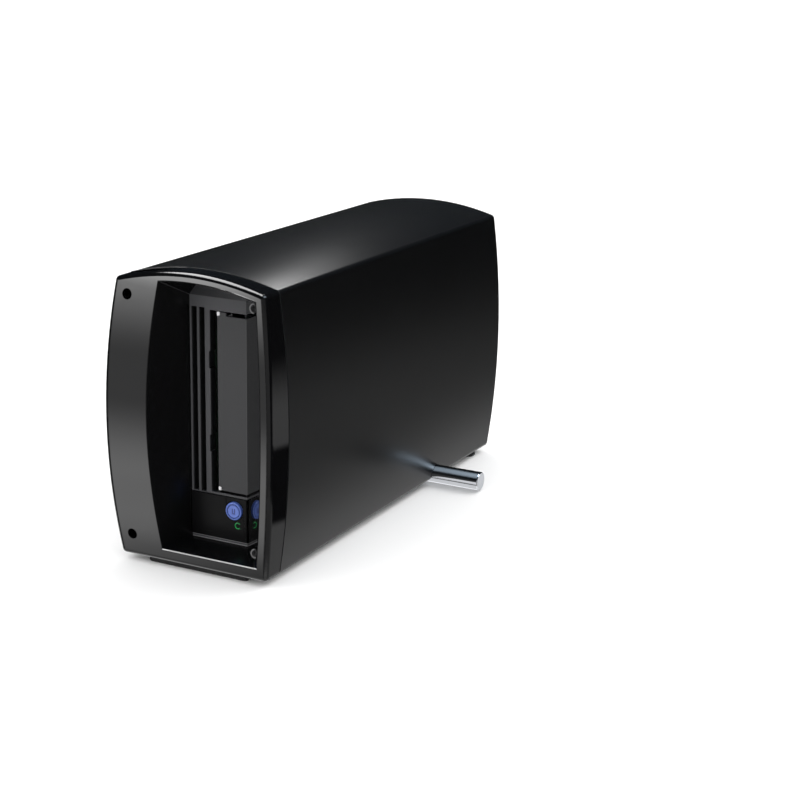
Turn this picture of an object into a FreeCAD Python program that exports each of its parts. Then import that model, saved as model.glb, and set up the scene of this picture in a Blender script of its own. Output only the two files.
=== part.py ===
import FreeCAD, Part
import math
import os

# External half-height tape drive that stands on its edge, in millimetres.
# X runs across the front, Y from the front to the back, and Z up from the surface it stands on.
# The origin is at the bottom centre of the whole part.

# Enclosure. Its depth and height follow from the drive inside it.
CORNER_WIDTH = 100.7      # across the bottom corners, and across the upper ones
SIDE_BULGE = 6.5          # how far each side bows out at mid-height
TOP_BULGE = 7.2           # how far the top bows up at its middle
CORNER_RADIUS = 3.0       # on the four long edges, and round the front of the bezel
SHELL_WALL = 2.4
SLIP = 0.2                # clearance round a piece that slips into the sleeve

# Feet
FOOT_HEIGHT = 4.0
STRIP_LENGTH = 69.0       # the front foot, a strip across the bezel's underside
STRIP_WIDTH = 9.6
STRIP_SETBACK = 9.6       # from the foremost point of the front
REAR_FOOT_RADIUS = 6.0
REAR_FOOT_X = 42.0
REAR_FOOT_SETBACK = 15.7  # from the back edge of the sleeve

# Front bezel
BEZEL_DEPTH = 20.1        # foremost point to the seam with the sleeve
BEZEL_WALL = 2.4
FRONT_SAG = 5.1           # how far the front's top and bottom lie behind its middle
SEAM_GAP = 0.5
SPIGOT_LENGTH = 8.0       # of the lip that enters the sleeve
SPIGOT_WALL = 1.6

# Funnel in the bezel, from the opening back to the drive's face
FUNNEL_DEPTH = 27.3       # foremost point to the drive's face
FUNNEL_WALL = 2.0
SEAT_X = 5.05             # centre of the drive's face, to the right of the middle
SEAT_RISE = 0.1           # and above mid-height
SEAT_LAP = 0.3            # how far the funnel covers the face's upper and lower edges
SEAT_SIDE_LAP = 1.75      # and its two sides
SEAT_MARGIN = 10.3        # funnel's seat to the underside, and to the upper corners
OPENING_LEFT = -20.5      # left edge of the opening at its corners
OPENING_LEFT_BOW = 6.5    # how far that edge bows out at mid-height
RIM_SIDE = 6.8            # from the side to the opening
RIM_TOP = 5.3
SILL = 7.8

# Bezel screws
SCREW_LEFT_X = -41.3
SCREW_RIGHT_X = 39.8
SCREW_LOW_Z = 14.0        # above the underside
SCREW_DROP = 9.0          # upper screws below the upper corners
COUNTERBORE_LEFT = 3.25
COUNTERBORE_RIGHT = 2.8
BOSS_RADIUS = 4.4
SCREW_SEAT = 19.0         # foremost point to the seat of the head
SCREW_RADIUS = 1.5
HEAD_RADIUS = 2.6
HEAD_HEIGHT = 1.8
DRIVER_RADIUS = 1.1
DRIVER_DEPTH = 1.0

# Inner chassis, folded from sheet
SHEET = 1.2
BULKHEAD_SETBACK = 30.0   # foremost point to the front face of the bulkhead
BULKHEAD_RIM = 9.0        # sheet left round its side windows
WINDOW_GAP = 0.4
WEB_GAP = 0.65            # between the web and the widest part of the drive
FLANGE_GAP = 0.3
NUT_RADIUS = 3.2
NUT_HEIGHT = 3.0
ARM_LOW = 14.0            # lower edge of the arm to the rear panel, above the underside
ARM_GAP = 1.9             # arm's upper edge to the ports' brackets
ARM_FOOT = 11.0           # width of its bent end
ARM_SCREW_SHARES = (0.25, 0.75)
FLANGE_START = 5.0        # bulkhead to the flanges
ROD_MARGIN = 3.0          # chassis to the rod
WEB_OVERHANG = 6.0        # of the web behind the drive
WEB_RELIEF_LENGTH = 40.0  # of the three slots in the web
WEB_RELIEF_HEIGHT = 18.0
WEB_RELIEF_START = 20.0   # behind the drive's front
WEB_RELIEF_SHARES = (0.3, 0.5, 0.7)

# Stabilizer rod
ROD_RADIUS = 6.35
ROD_LENGTH = 170.0
ROD_SETBACK = 226.0       # foremost point to the rod's axis
ROD_RISE = 3.4            # rod's axis above the underside
ROD_CHAMFER = 0.6
ROD_CLEARANCE = 0.25
CLAMP_WIDTH = 14.0
CLAMP_LENGTH = 30.0
CLAMP_X = 37.5
CLAMP_TOP = 14.5          # above the underside
CLAMP_SCREW_OFFSET = 11.0

# Drive
FACE_WIDTH = 42.0
FACE_THICK = 6.0
FACE_CROWN = 8.1          # face's top edge to the cartridge slot
BODY_SIDE_INSET = 0.5     # from the face's sides to the drive's body
BODY_TOP_INSET = 1.3      # and from its top and bottom
DRIVE_SHEET = 1.5
COVER_SHEET = 1.2
COVER_PRESSING = 14.0     # edge of the cover to its pressed panel
COVER_LIP = 8.0
DRIVE_SCREW_FRONT = 40.0  # behind the drive's front
DRIVE_SCREW_REAR = 32.35  # before the end of the chassis flanges
VENT_LEFT = -13.1         # left edge of the first vent slot
VENT_WIDTH = 3.65
VENT_PITCH = 5.35
VENT_COUNT = 2
VENT_SILL = 0.6           # control panel to the vents above it
VENT_OVER = 0.9           # how far the vents rise past the cartridge slot

# Cartridge slot
CARTRIDGE_HEIGHT = 105.4
CARTRIDGE_THICK = 21.5
SLOT_LEFT = -0.5
SLOT_RIGHT = 24.5
SLOT_CLEARANCE = 2.3      # above and below the cartridge
SLOT_SILL = 1.4           # control panel to the slot above it
NOTCH_OFFSET = 25.3       # shallow notches in the slot's left edge, above and below its middle
NOTCH_HEIGHT = 10.3
NOTCH_DEPTH = 0.8

# Cartridge door
DOOR_GAP_LOW = 1.6
DOOR_GAP_HIGH = 0.6
DOOR_LEFT = 4.2
DOOR_THICK = 1.8
DOOR_INSET = 0.3          # behind the drive's face
DOOR_BARREL = 1.05
DOOR_PIN_RADIUS = 0.6
PIN_FIT = 0.05            # running fit, radial
PIN_BITE = 2.4            # how far the pin enters the faceplate at each end
HINGE_INSET = 1.3         # axis in from the slot's right edge
HINGE_SETBACK = 1.8       # and behind the drive's face
SPRING_LENGTH = 12.0
SPRING_GAP = 0.4
SPRING_WIRE = 0.25
DOOR_STEP = 2.0           # how far the right of the top edge lies below its left
DOOR_STEP_X = 10.4
BUSH_RADIUS = 1.0
BUSH_LENGTH = 2.2

# Control panel
PANEL_MARGIN = 2.2        # face's bottom edge to the panel
PANEL_HEIGHT = 26.9
PANEL_SIDE_GAP = 0.2
PANEL_LEDGE = 1.0         # rim of the pocket that the panel rests on
PANEL_PROUD = 0.8
PANEL_THICK = 2.4
BUTTON_X = 15.7
BUTTON_RISE = 19.0        # above the panel's lower edge
BUTTON_RADIUS = 5.5
BUTTON_GAP = 0.35
BUTTON_PROUD = 1.2
BUTTON_TRAVEL = 1.2
TAB_WIDTH = 11.6
TAB_DEPTH = 0.3
LIGHT_X = 18.4
LIGHT_RISE = 10.1         # above the panel's lower edge
LIGHT_RADIUS = 2.4
LIGHT_WALL = 0.7
LIGHT_OPENING = 70.0      # degrees left out of the ring
LIGHT_DEPTH = 0.8
CONTROL_BOARD_GAP = 7.0   # from the panel's front to the board behind it
CONTROL_BOARD_INSET = 3.0
SWITCH_SIZE = 6.0
LAMP_SIZE = 2.0

# Tape path
DECK_X = -4.8             # underside of the deck plate
DECK_THICK = 1.5
DECK_START = 22.0         # behind the drive's face
DECK_MARGIN = 2.0
CARRIER_START = 24.0      # behind the drive's face
CARRIER_LENGTH = 78.0
CARRIER_TRAVEL = 16.0
CARRIER_WALL = 1.0
CARRIER_FLOOR_X = -1.4
CARRIER_SIDE_GAP = 0.3
CARRIER_LIP = 3.0
RUNNER_WIDTH = 4.0        # of the two deck rails that the carrier slides on
RUNNER_INSET = 8.0        # from the carrier's side walls to the rails
RUNNER_GAP = 0.3
CLUTCH_SETBACK = 67.0     # behind the drive's face
CLUTCH_RADIUS = 16.0
CLUTCH_TEETH = 16
REEL_GAP = 4.0            # carrier at the end of its travel to the reel
REEL_MARGIN = 12.0        # reel to the drive's rear
REEL_Z = 84.4             # above the underside
REEL_RADIUS = 36.0
REEL_HUB_RADIUS = 22.0
REEL_FLANGE = 1.2
REEL_LOW_X = 1.0
REEL_HEIGHT = 16.0
MOTOR_RADIUS = 20.0
MOTOR_THICK = 5.2
SPINDLE_RADIUS = 2.5
ROLLER_RADIUS = 6.0
ROLLER_FLANGE = 7.2
ROLLER_LOW_X = 1.0
ROLLER_HEIGHT = 14.0
POST_RADIUS = 1.5
ROLLER_PLACES = (         # behind the reel's axis, and above the underside
    (-32.0, 45.0),
    (-35.0, 24.0),
    (-7.0, 22.0),
    (18.0, 28.0),
)
HEAD_AHEAD = 21.0         # of the reel's axis
HEAD_Z = 22.5             # above the underside
HEAD_WIDTH = 9.0
HEAD_DEPTH = 8.0
HEAD_HEIGHT_X = 13.0
HEAD_LOW_X = 2.5
HEAD_TRAVEL = 2.0
GUIDE_RADIUS = 0.9
GUIDE_SPACING = 5.0

# Circuit boards
BOARD = 1.6
DRIVE_BOARD_X = -12.8
DRIVE_BOARD_START = 30.0  # behind the drive's face
DRIVE_BOARD_REAR = 11.5   # board to the drive's rear wall
STANDOFF_RADIUS = 3.0
STANDOFF_INSET = 8.5      # from the drive's top and bottom
STANDOFF_FRONT = 21.0     # behind the drive's front
STANDOFF_REAR = 15.0      # before its rear
DRIVE_CHIPS = (           # shares of the board's length and height, and the chip's side
    (0.68, 0.1, 16.0),
    (0.1, 0.12, 14.0),
    (0.45, 0.9, 18.0),
    (0.85, 0.88, 12.0),
    (0.2, 0.86, 10.0),
)
CHIP_THICK = 1.2
SOCKET_SPANS = ((-22.0, 20.0), (28.0, 46.0))  # lower and upper ends of the rear sockets, from mid-height
SOCKET_THICK = 8.0
SOCKET_LENGTH = 15.0
SOCKET_PROUD = 3.0

# Power supply, on the left of the web
SUPPLY_GAP = 4.0          # web to board
SUPPLY_START = 40.0       # behind the drive's face
SUPPLY_LENGTH = 150.0
SUPPLY_LOW = 30.0
SUPPLY_HEIGHT = 96.0
SINK_SHARES = (0.3, 0.78)
SINK_REACH = 20.0         # off the board
SINK_THICK = 3.0
SINK_MARGIN = 12.0        # board's edge to the heat sinks
FIN_COUNT = 5
FIN_WIDTH = 16.0
FIN_HEIGHT = 8.0
FIN_PITCH = 14.0
FIN_THICK = 1.5
CORE_SIZE = (22.0, 26.0, 30.0)
CORE_SHARES = (0.54, 0.3)
CAPACITORS = (            # shares of the board's length and height, and the radius
    (0.12, 0.3, 9.0),
    (0.12, 0.62, 9.0),
    (0.54, 0.68, 7.0),
    (0.9, 0.5, 5.0),
)
CAPACITOR_LENGTH = 21.0

# Rear panel and what it carries
REAR_RECESS = 5.0
REAR_PANEL_THICK = 1.6
REAR_SCREW_X = 42.0
REAR_SCREW_LOW = 10.5
REAR_SCREW_DROP = 8.6     # upper screws below the upper corners
LUG_LENGTH = 14.0
SERVICE_SPACE = 46.8      # drive's rear to the fan, for its plugs and cables
FAN_SIZE = 80.0
FAN_THICK = 25.0
FAN_DROP = 10.6           # fan below the upper corners
FAN_DUCT_WALL = 2.0
FAN_SCREW_INSET = 4.25    # from the fan's edges
FAN_SCREW_BITE = 9.0      # of the screw in the fan's corner
FAN_CORNER = 4.0
FAN_WAIST = 1.6           # wall of the duct between the fan's two flanges
FAN_FLANGE = 4.0
FAN_STRUT = 3.2
FAN_SEAT = 3.0            # thickness of the motor's seat and the struts
FAN_HUB = 16.5
FAN_CUP_WALL = 1.5
FAN_FRONT_GAP = 1.0       # hub behind the front of its frame
FAN_REAR_GAP = 5.0        # blades and hub before the rear of it
FAN_BLADES = 7
FAN_TIP_GAP = 1.0
BLADE_THICK = 1.3
BLADE_BOW = 0.35          # bow of the blade's section, as a share of half its sweep
GRILLE_RINGS = 5
GRILLE_INNER = 9.0
GRILLE_SLOT = 3.6
GRILLE_PITCH = 5.9
GRILLE_SPOKE = 14.0       # degrees of each spoke between the slots at the inner ring
INLET_X = 20.0
INLET_Z = 25.0
SOCKET_WIDTH = 22.4
SOCKET_HEIGHT = 15.6
SOCKET_DEPTH = 15.0
INLET_FLANGE_WIDTH = 49.0
INLET_FLANGE_HEIGHT = 23.0
INLET_FLANGE_THICK = 2.2
INLET_FLANGE_CORNER = 5.0
INLET_WALL = 2.2
INLET_CORNER = 1.5
INLET_SCREW_SPACING = 40.0
INLET_NUT = 2.5
SOCKET_CORNER = 4.5       # of the two cut corners
CONTACTS = ((-7.0, -2.0), (0.0, 2.0), (7.0, -2.0))
CONTACT_WIDTH = 2.0
CONTACT_HEIGHT = 4.0
CONTACT_DROP = 3.0        # contacts' ends behind the mouth of the socket
ROCKER_X = -38.0
ROCKER_Z = 25.0
ROCKER_WIDTH = 9.0
ROCKER_HEIGHT = 15.0
ROCKER_SWING = 18.0
ROCKER_DEPTH = 3.0        # pivot before the outer face of the panel
ROCKER_PROUD = 3.4        # ends of the rocker behind its pivot
ROCKER_DISH = 0.8
ROCKER_TAPER = 0.55       # front of the rocker as a share of its rear
ROCKER_PIN = 1.0
ROCKER_SIDE_GAP = 0.3
ROCKER_END_GAP = 0.8
SWITCH_WALL = 2.0
SWITCH_DEPTH = 12.0
SWITCH_RIM = 3.0          # from the rocker to the edge of the rim
SWITCH_RIM_THICK = 1.5
PORT_X = (-16.0, 14.0)
PORT_OFFSET = 0.75        # above the middle between the inlet and the fan
PORT_WIDTH = 24.0
PORT_HEIGHT = 9.0
PORT_LENGTH = 24.0
PORT_SHEET = 0.8
PORT_PROUD = 1.0
PORT_CORNER = 0.8
TONGUE_INSET = 4.0
BRACKET_WIDTH = 8.0
BRACKET_LENGTH = 20.0
BRACKET_HEIGHT = 6.0
PORT_BOARD_LENGTH = 50.0
PORT_BOARD_MARGIN = 6.0
LOCK_X = 41.0
LOCK_RISE = 2.0           # above the ports' middle
LOCK_LENGTH = 7.0
LOCK_HEIGHT = 3.0

# Planes that follow from the sizes above
V = FreeCAD.Vector
ALONG_X = V(1, 0, 0)
ALONG_Y = V(0, 1, 0)
ALONG_Z = V(0, 0, 1)
REEL_SETBACK = CARRIER_START + CARRIER_LENGTH + CARRIER_TRAVEL + REEL_GAP + REEL_RADIUS
BODY_LENGTH = REEL_SETBACK + REEL_RADIUS + REEL_MARGIN - FACE_THICK
DEPTH = FUNNEL_DEPTH + FACE_THICK + BODY_LENGTH + SERVICE_SPACE + FAN_THICK + REAR_PANEL_THICK + REAR_RECESS
FACE_LOW = SEAT_MARGIN + SEAT_RISE - SEAT_LAP
PANEL_LOW = FACE_LOW + PANEL_MARGIN
PANEL_HIGH = PANEL_LOW + PANEL_HEIGHT
BUTTON_Z = PANEL_LOW + BUTTON_RISE
LIGHT_Z = PANEL_LOW + LIGHT_RISE
SLOT_LOW = PANEL_HIGH + SLOT_SILL
SLOT_HIGH = SLOT_LOW + CARTRIDGE_HEIGHT + 2 * SLOT_CLEARANCE
VENT_LOW = PANEL_HIGH + VENT_SILL
VENT_HIGH = SLOT_HIGH + VENT_OVER
FACE_HEIGHT = SLOT_HIGH + FACE_CROWN - FACE_LOW
SEAT_HEIGHT = FACE_HEIGHT - 2 * SEAT_LAP
SEAT_WIDTH = FACE_WIDTH - 2 * SEAT_SIDE_LAP
BODY_HEIGHT = FACE_HEIGHT - 2 * BODY_TOP_INSET
BODY_WIDTH = FACE_WIDTH - 2 * BODY_SIDE_INSET
CORNER_HEIGHT = SEAT_HEIGHT + 2 * SEAT_MARGIN
SEAT_Z = CORNER_HEIGHT / 2 + SEAT_RISE
SCREW_HIGH_Z = CORNER_HEIGHT - SCREW_DROP
REAR_SCREW_HIGH = CORNER_HEIGHT - REAR_SCREW_DROP
FAN_Z = CORNER_HEIGHT - FAN_DROP - FAN_SIZE / 2
FAN_BORE = FAN_SIZE / 2 - FAN_DUCT_WALL
PORT_Z = (INLET_Z + INLET_FLANGE_HEIGHT / 2 + FAN_Z - FAN_SIZE / 2) / 2 + PORT_OFFSET
LOCK_Z = PORT_Z + LOCK_RISE
ARM_HEIGHT = PORT_Z - PORT_HEIGHT / 2 - BOARD - BRACKET_HEIGHT - ARM_GAP - ARM_LOW
HINGE_X = SLOT_RIGHT - HINGE_INSET
FRONT = -DEPTH / 2
REAR = DEPTH / 2
BASE = FOOT_HEIGHT
MID_Z = BASE + CORNER_HEIGHT / 2
SEAM_Y = FRONT + BEZEL_DEPTH
FACE_Y = FRONT + FUNNEL_DEPTH
BODY_Y = FACE_Y + FACE_THICK
BODY_END = BODY_Y + BODY_LENGTH
DRIVE_Z = BASE + SEAT_Z
SEAT_LEFT = SEAT_X - SEAT_WIDTH / 2
SEAT_RIGHT = SEAT_X + SEAT_WIDTH / 2
SEAT_LOW = DRIVE_Z - SEAT_HEIGHT / 2
SEAT_HIGH = DRIVE_Z + SEAT_HEIGHT / 2
BODY_LEFT = SEAT_X - BODY_WIDTH / 2
BODY_RIGHT = SEAT_X + BODY_WIDTH / 2
BODY_LOW = DRIVE_Z - BODY_HEIGHT / 2
BODY_HIGH = DRIVE_Z + BODY_HEIGHT / 2
BULKHEAD_Y = FRONT + BULKHEAD_SETBACK
WEB_X = SEAT_X - FACE_WIDTH / 2 - WEB_GAP
ROD_Y = FRONT + ROD_SETBACK
ROD_Z = BASE + ROD_RISE
PANEL_Y = REAR - REAR_RECESS
PANEL_BACK = PANEL_Y - REAR_PANEL_THICK
SLOT_MID = BASE + (SLOT_LOW + SLOT_HIGH) / 2
DECK_TOP = DECK_X + DECK_THICK
HINGE_Y = FACE_Y + HINGE_SETBACK
FAN_MID = BASE + FAN_Z
FLANGE_LOW = BODY_LOW - FLANGE_GAP - SHEET
FLANGE_HIGH = BODY_HIGH + FLANGE_GAP + SHEET
FLANGE_END = ROD_Y - ROD_RADIUS - ROD_MARGIN - 1
BEZEL_SCREWS = [(x, BASE + z) for x in (SCREW_LEFT_X, SCREW_RIGHT_X) for z in (SCREW_LOW_Z, SCREW_HIGH_Z)]
REAR_SCREWS = [(side * REAR_SCREW_X, BASE + z) for side in (-1, 1) for z in (REAR_SCREW_LOW, REAR_SCREW_HIGH)]


def block(x, y, z):
    """Box between two values on each axis."""
    return Part.makeBox(x[1] - x[0], y[1] - y[0], z[1] - z[0], V(x[0], y[0], z[0]))


def round_bar(axis, radius, start, length):
    """Cylinder from a start point along an axis."""
    return Part.makeCylinder(radius, length, start, axis)


def ring(axis, outer, inner, start, length):
    """Cylinder with a bore right through it."""
    return round_bar(axis, outer, start, length).cut(round_bar(axis, inner, start, length))


def joined(shapes):
    """One solid from pieces that meet."""
    return shapes[0].multiFuse(shapes[1:]).removeSplitter()


def rounded(shape, radius, chosen):
    """Fillet the edges that the test picks."""
    return shape.makeFillet(radius, [edge for edge in shape.Edges if chosen(edge)])


def runs_along(axis):
    """Test for straight edges that lie along an axis."""
    def test(edge):
        if edge.Curve.TypeId != "Part::GeomLine":
            return False
        return abs(edge.tangentAt(edge.FirstParameter).dot(axis)) > 0.999
    return test


def arc_radius(half_chord, rise):
    """Radius of the arc that rises so far over half its chord."""
    return (half_chord ** 2 + rise ** 2) / (2 * rise)


def side_x(z):
    """Outer face of the right-hand side at a height."""
    radius = arc_radius(CORNER_HEIGHT / 2, SIDE_BULGE)
    return CORNER_WIDTH / 2 + SIDE_BULGE - radius + math.sqrt(radius ** 2 - (z - MID_Z) ** 2)


def top_z(x):
    """Outer face of the top at a place across it."""
    radius = arc_radius(CORNER_WIDTH / 2, TOP_BULGE)
    return BASE + CORNER_HEIGHT + TOP_BULGE - radius + math.sqrt(radius ** 2 - x ** 2)


def front_y(z):
    """Outer face of the bowed front at a height."""
    radius = arc_radius(CORNER_HEIGHT / 2, FRONT_SAG)
    return FRONT + radius - math.sqrt(radius ** 2 - (z - MID_Z) ** 2)


def upper_corner(inset):
    """Where the side and top arcs meet once both are drawn in by inset."""
    side_radius = arc_radius(CORNER_HEIGHT / 2, SIDE_BULGE)
    top_radius = arc_radius(CORNER_WIDTH / 2, TOP_BULGE)
    side_centre = V(CORNER_WIDTH / 2 + SIDE_BULGE - side_radius, 0, MID_Z)
    top_centre = V(0, 0, BASE + CORNER_HEIGHT + TOP_BULGE - top_radius)
    r_side = side_radius - inset
    r_top = top_radius - inset
    span = top_centre - side_centre
    distance = span.Length
    reach = (r_side ** 2 - r_top ** 2 + distance ** 2) / (2 * distance)
    height = math.sqrt(r_side ** 2 - reach ** 2)
    direction = span / distance
    normal = V(-direction.z, 0, direction.x)
    return side_centre + direction * reach + normal * height


def sharp_barrel(inset, y_front, y_rear):
    """Prism of the enclosure's barrel-shaped section, drawn in by inset, before its edges are rounded."""
    low = BASE + inset
    low_x = side_x(low) - inset
    corner = upper_corner(inset)
    side_mid = side_x(MID_Z) - inset
    top_mid = top_z(0) - inset
    right_low = V(low_x, y_front, low)
    left_low = V(-low_x, y_front, low)
    right_high = V(corner.x, y_front, corner.z)
    left_high = V(-corner.x, y_front, corner.z)
    edges = [
        Part.makeLine(left_low, right_low),
        Part.Arc(right_low, V(side_mid, y_front, MID_Z), right_high).toShape(),
        Part.Arc(right_high, V(0, y_front, top_mid), left_high).toShape(),
        Part.Arc(left_high, V(-side_mid, y_front, MID_Z), left_low).toShape(),
    ]
    return Part.Face(Part.Wire(edges)).extrude(V(0, y_rear - y_front, 0))


def barrel(inset, y_front, y_rear):
    """The same prism with its four long edges rounded."""
    radius = max(CORNER_RADIUS - inset, 0.4)
    return rounded(sharp_barrel(inset, y_front, y_rear), radius, runs_along(ALONG_Y))


def barrel_ring(outer_inset, inner_inset, y_front, y_rear):
    """Hollow length of the barrel between two insets."""
    return barrel(outer_inset, y_front, y_rear).cut(barrel(inner_inset, y_front, y_rear))


def front_drum(setback):
    """Drum whose side is the bowed front, moved back by setback."""
    radius = arc_radius(CORNER_HEIGHT / 2, FRONT_SAG)
    length = CORNER_WIDTH + 4 * SIDE_BULGE
    centre = V(-length / 2, FRONT + radius + setback, MID_Z)
    return round_bar(ALONG_X, radius, centre, length).rotated(centre, ALONG_X, 180)


def funnel(grow):
    """Inside of the funnel as a solid, grown on every side by grow to give its outside."""
    lead = 1.0
    sill = BASE + SILL
    right = side_x(sill) - RIM_SIDE
    middle = (OPENING_LEFT + right) / 2

    def rim_point(x, z, toward_x, toward_z):
        scale = (FUNNEL_DEPTH + lead) / (FACE_Y - front_y(z))
        seat_x = SEAT_X + toward_x * SEAT_WIDTH / 2
        seat_z = DRIVE_Z + toward_z * SEAT_HEIGHT / 2
        across = seat_x + (x - seat_x) * scale + toward_x * grow
        up = seat_z + (z - seat_z) * scale + toward_z * grow
        return V(across, FRONT - lead, up)

    def seat_point(toward_x, toward_z):
        across = SEAT_X + toward_x * (SEAT_WIDTH / 2 + grow)
        return V(across, FACE_Y, DRIVE_Z + toward_z * (SEAT_HEIGHT / 2 + grow))

    left_low = rim_point(OPENING_LEFT, sill, -1, -1)
    right_low = rim_point(right, sill, 1, -1)
    right_mid = rim_point(side_x(MID_Z) - RIM_SIDE, MID_Z, 1, 0)
    right_high = rim_point(right, top_z(right) - RIM_TOP, 1, 1)
    top_mid = rim_point(middle, top_z(middle) - RIM_TOP, 0, 1)
    left_high = rim_point(OPENING_LEFT, top_z(OPENING_LEFT) - RIM_TOP, -1, 1)
    left_mid = rim_point(OPENING_LEFT - OPENING_LEFT_BOW, MID_Z, -1, 0)
    rim = Part.Wire([
        Part.makeLine(left_low, right_low),
        Part.Arc(right_low, right_mid, right_high).toShape(),
        Part.Arc(right_high, top_mid, left_high).toShape(),
        Part.Arc(left_high, left_mid, left_low).toShape(),
    ])
    corners = [seat_point(-1, -1), seat_point(1, -1), seat_point(1, 1), seat_point(-1, 1)]
    seat = Part.Wire([Part.makeLine(corners[i], corners[(i + 1) % 4]) for i in range(4)])
    return Part.makeLoft([rim, seat], True, True)


def screw_y(x, z, seat_y, shank, direction=1):
    """Pan-head screw along Y: its head ends at seat_y and its shank goes on in the given direction."""
    axis = V(0, direction, 0)
    head = round_bar(axis, HEAD_RADIUS, V(x, seat_y - direction * HEAD_HEIGHT, z), HEAD_HEIGHT)
    driver = round_bar(axis, DRIVER_RADIUS, V(x, seat_y - direction * HEAD_HEIGHT, z), DRIVER_DEPTH)
    body = round_bar(axis, SCREW_RADIUS, V(x, seat_y, z), shank)
    return joined([head, body]).cut(driver)


def screw_z(x, y, seat_z, shank, direction):
    """Pan-head screw along Z, laid out in the same way."""
    axis = V(0, 0, direction)
    head = round_bar(axis, HEAD_RADIUS, V(x, y, seat_z - direction * HEAD_HEIGHT), HEAD_HEIGHT)
    driver = round_bar(axis, DRIVER_RADIUS, V(x, y, seat_z - direction * HEAD_HEIGHT), DRIVER_DEPTH)
    body = round_bar(axis, SCREW_RADIUS, V(x, y, seat_z), shank)
    return joined([head, body]).cut(driver)


def front_bezel():
    """Bowed moulding with a funnel back to the drive, screw bosses and a lip for the sleeve."""
    blank = sharp_barrel(0, FRONT, FACE_Y).common(front_drum(0))
    blank = rounded(blank, CORNER_RADIUS, lambda edge: edge.BoundBox.YMin < FACE_Y - 0.1)
    band = blank.common(block((-DEPTH, DEPTH), (FRONT - 1, SEAM_Y), (0, DEPTH)))
    cavity = barrel(BEZEL_WALL, FRONT, SEAM_Y + 1).common(front_drum(BEZEL_WALL))
    spigot_outer = SHELL_WALL + SLIP
    spigot_inner = spigot_outer + SPIGOT_WALL
    root = barrel_ring(BEZEL_WALL / 2, spigot_inner, SEAM_Y - SPIGOT_LENGTH, SEAM_Y)
    lip = barrel_ring(spigot_outer, spigot_inner, SEAM_Y, SEAM_Y + SPIGOT_LENGTH)
    bosses = []
    holes = []
    for x, z in BEZEL_SCREWS:
        counterbore = COUNTERBORE_LEFT if x < 0 else COUNTERBORE_RIGHT
        start = front_y(z) + BEZEL_WALL / 2
        boss = round_bar(ALONG_Y, BOSS_RADIUS, V(x, start, z), BULKHEAD_Y - start)
        bosses.append(boss)
        seat = FRONT + SCREW_SEAT
        holes.append(round_bar(ALONG_Y, counterbore, V(x, FRONT - 1, z), seat - FRONT + 1))
        holes.append(round_bar(ALONG_Y, SCREW_RADIUS, V(x, FRONT, z), BULKHEAD_Y - FRONT))
    tube = funnel(FUNNEL_WALL).common(blank)
    moulding = band.cut(cavity).multiFuse([root, lip, tube] + bosses)
    return moulding.cut([funnel(0)] + holes).removeSplitter()


def outer_shell():
    """Sleeve round the drive, notched for the rod, with lugs for the rear panel's screws."""
    front = SEAM_Y + SEAM_GAP
    sleeve = barrel_ring(0, SHELL_WALL, front, REAR)
    lugs = []
    for x, z in REAR_SCREWS:
        side = math.copysign(1, x)
        foot = math.copysign(1, z - MID_Z)
        start = PANEL_BACK - LUG_LENGTH
        web_x = sorted((x, x + side * 3 * BOSS_RADIUS))
        web_z = sorted((z, z + foot * 3 * BOSS_RADIUS))
        lug = joined([
            round_bar(ALONG_Y, BOSS_RADIUS, V(x, start, z), LUG_LENGTH),
            block(web_x, (start, PANEL_BACK), (z - SHELL_WALL / 2, z + SHELL_WALL / 2)),
            block((x - SHELL_WALL / 2, x + SHELL_WALL / 2), (start, PANEL_BACK), web_z),
        ])
        lug = lug.common(barrel(SHELL_WALL / 2, start, PANEL_BACK))
        lugs.append(lug.cut(round_bar(ALONG_Y, SCREW_RADIUS, V(x, start, z), LUG_LENGTH)))
    trough = round_bar(ALONG_X, ROD_RADIUS + ROD_CLEARANCE, V(-DEPTH / 2, ROD_Y, ROD_Z), DEPTH)
    taps = [round_bar(ALONG_Z, SCREW_RADIUS, V(x, y, BASE - 1), SHELL_WALL + 1) for x, y in clamp_screws_at()]
    return sleeve.multiFuse(lugs).cut([trough] + taps)


def front_foot():
    """Rubber strip across the underside of the bezel."""
    start = FRONT + STRIP_SETBACK
    strip = block((-STRIP_LENGTH / 2, STRIP_LENGTH / 2), (start, start + STRIP_WIDTH), (0, FOOT_HEIGHT))
    strip = rounded(strip, STRIP_WIDTH / 4, runs_along(ALONG_Z))
    return strip.makeChamfer(0.5, [edge for edge in strip.Edges if edge.BoundBox.ZMax < 0.1])


def rear_feet():
    """Two round rubber feet, chamfered at the edge."""
    feet = []
    for x in (-REAR_FOOT_X, REAR_FOOT_X):
        foot = round_bar(ALONG_Z, REAR_FOOT_RADIUS, V(x, REAR - REAR_FOOT_SETBACK, 0), FOOT_HEIGHT)
        lower_edge = [edge for edge in foot.Edges if edge.BoundBox.ZMax < 0.1]
        feet.append(foot.makeChamfer(FOOT_HEIGHT / 5, lower_edge))
    return Part.makeCompound(feet)


def stabilizer_rod():
    """Polished bar across the underside that keeps the narrow case from tipping."""
    rod = round_bar(ALONG_X, ROD_RADIUS, V(-ROD_LENGTH / 2, ROD_Y, ROD_Z), ROD_LENGTH)
    return rod.makeChamfer(ROD_CHAMFER, [edge for edge in rod.Edges if edge.BoundBox.XLength < 0.1])


def clamp_screws_at():
    """Places of the screws that hold the two rod clamps."""
    return [(x, ROD_Y + y) for x in (-CLAMP_X, CLAMP_X) for y in (-CLAMP_SCREW_OFFSET, CLAMP_SCREW_OFFSET)]


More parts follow.
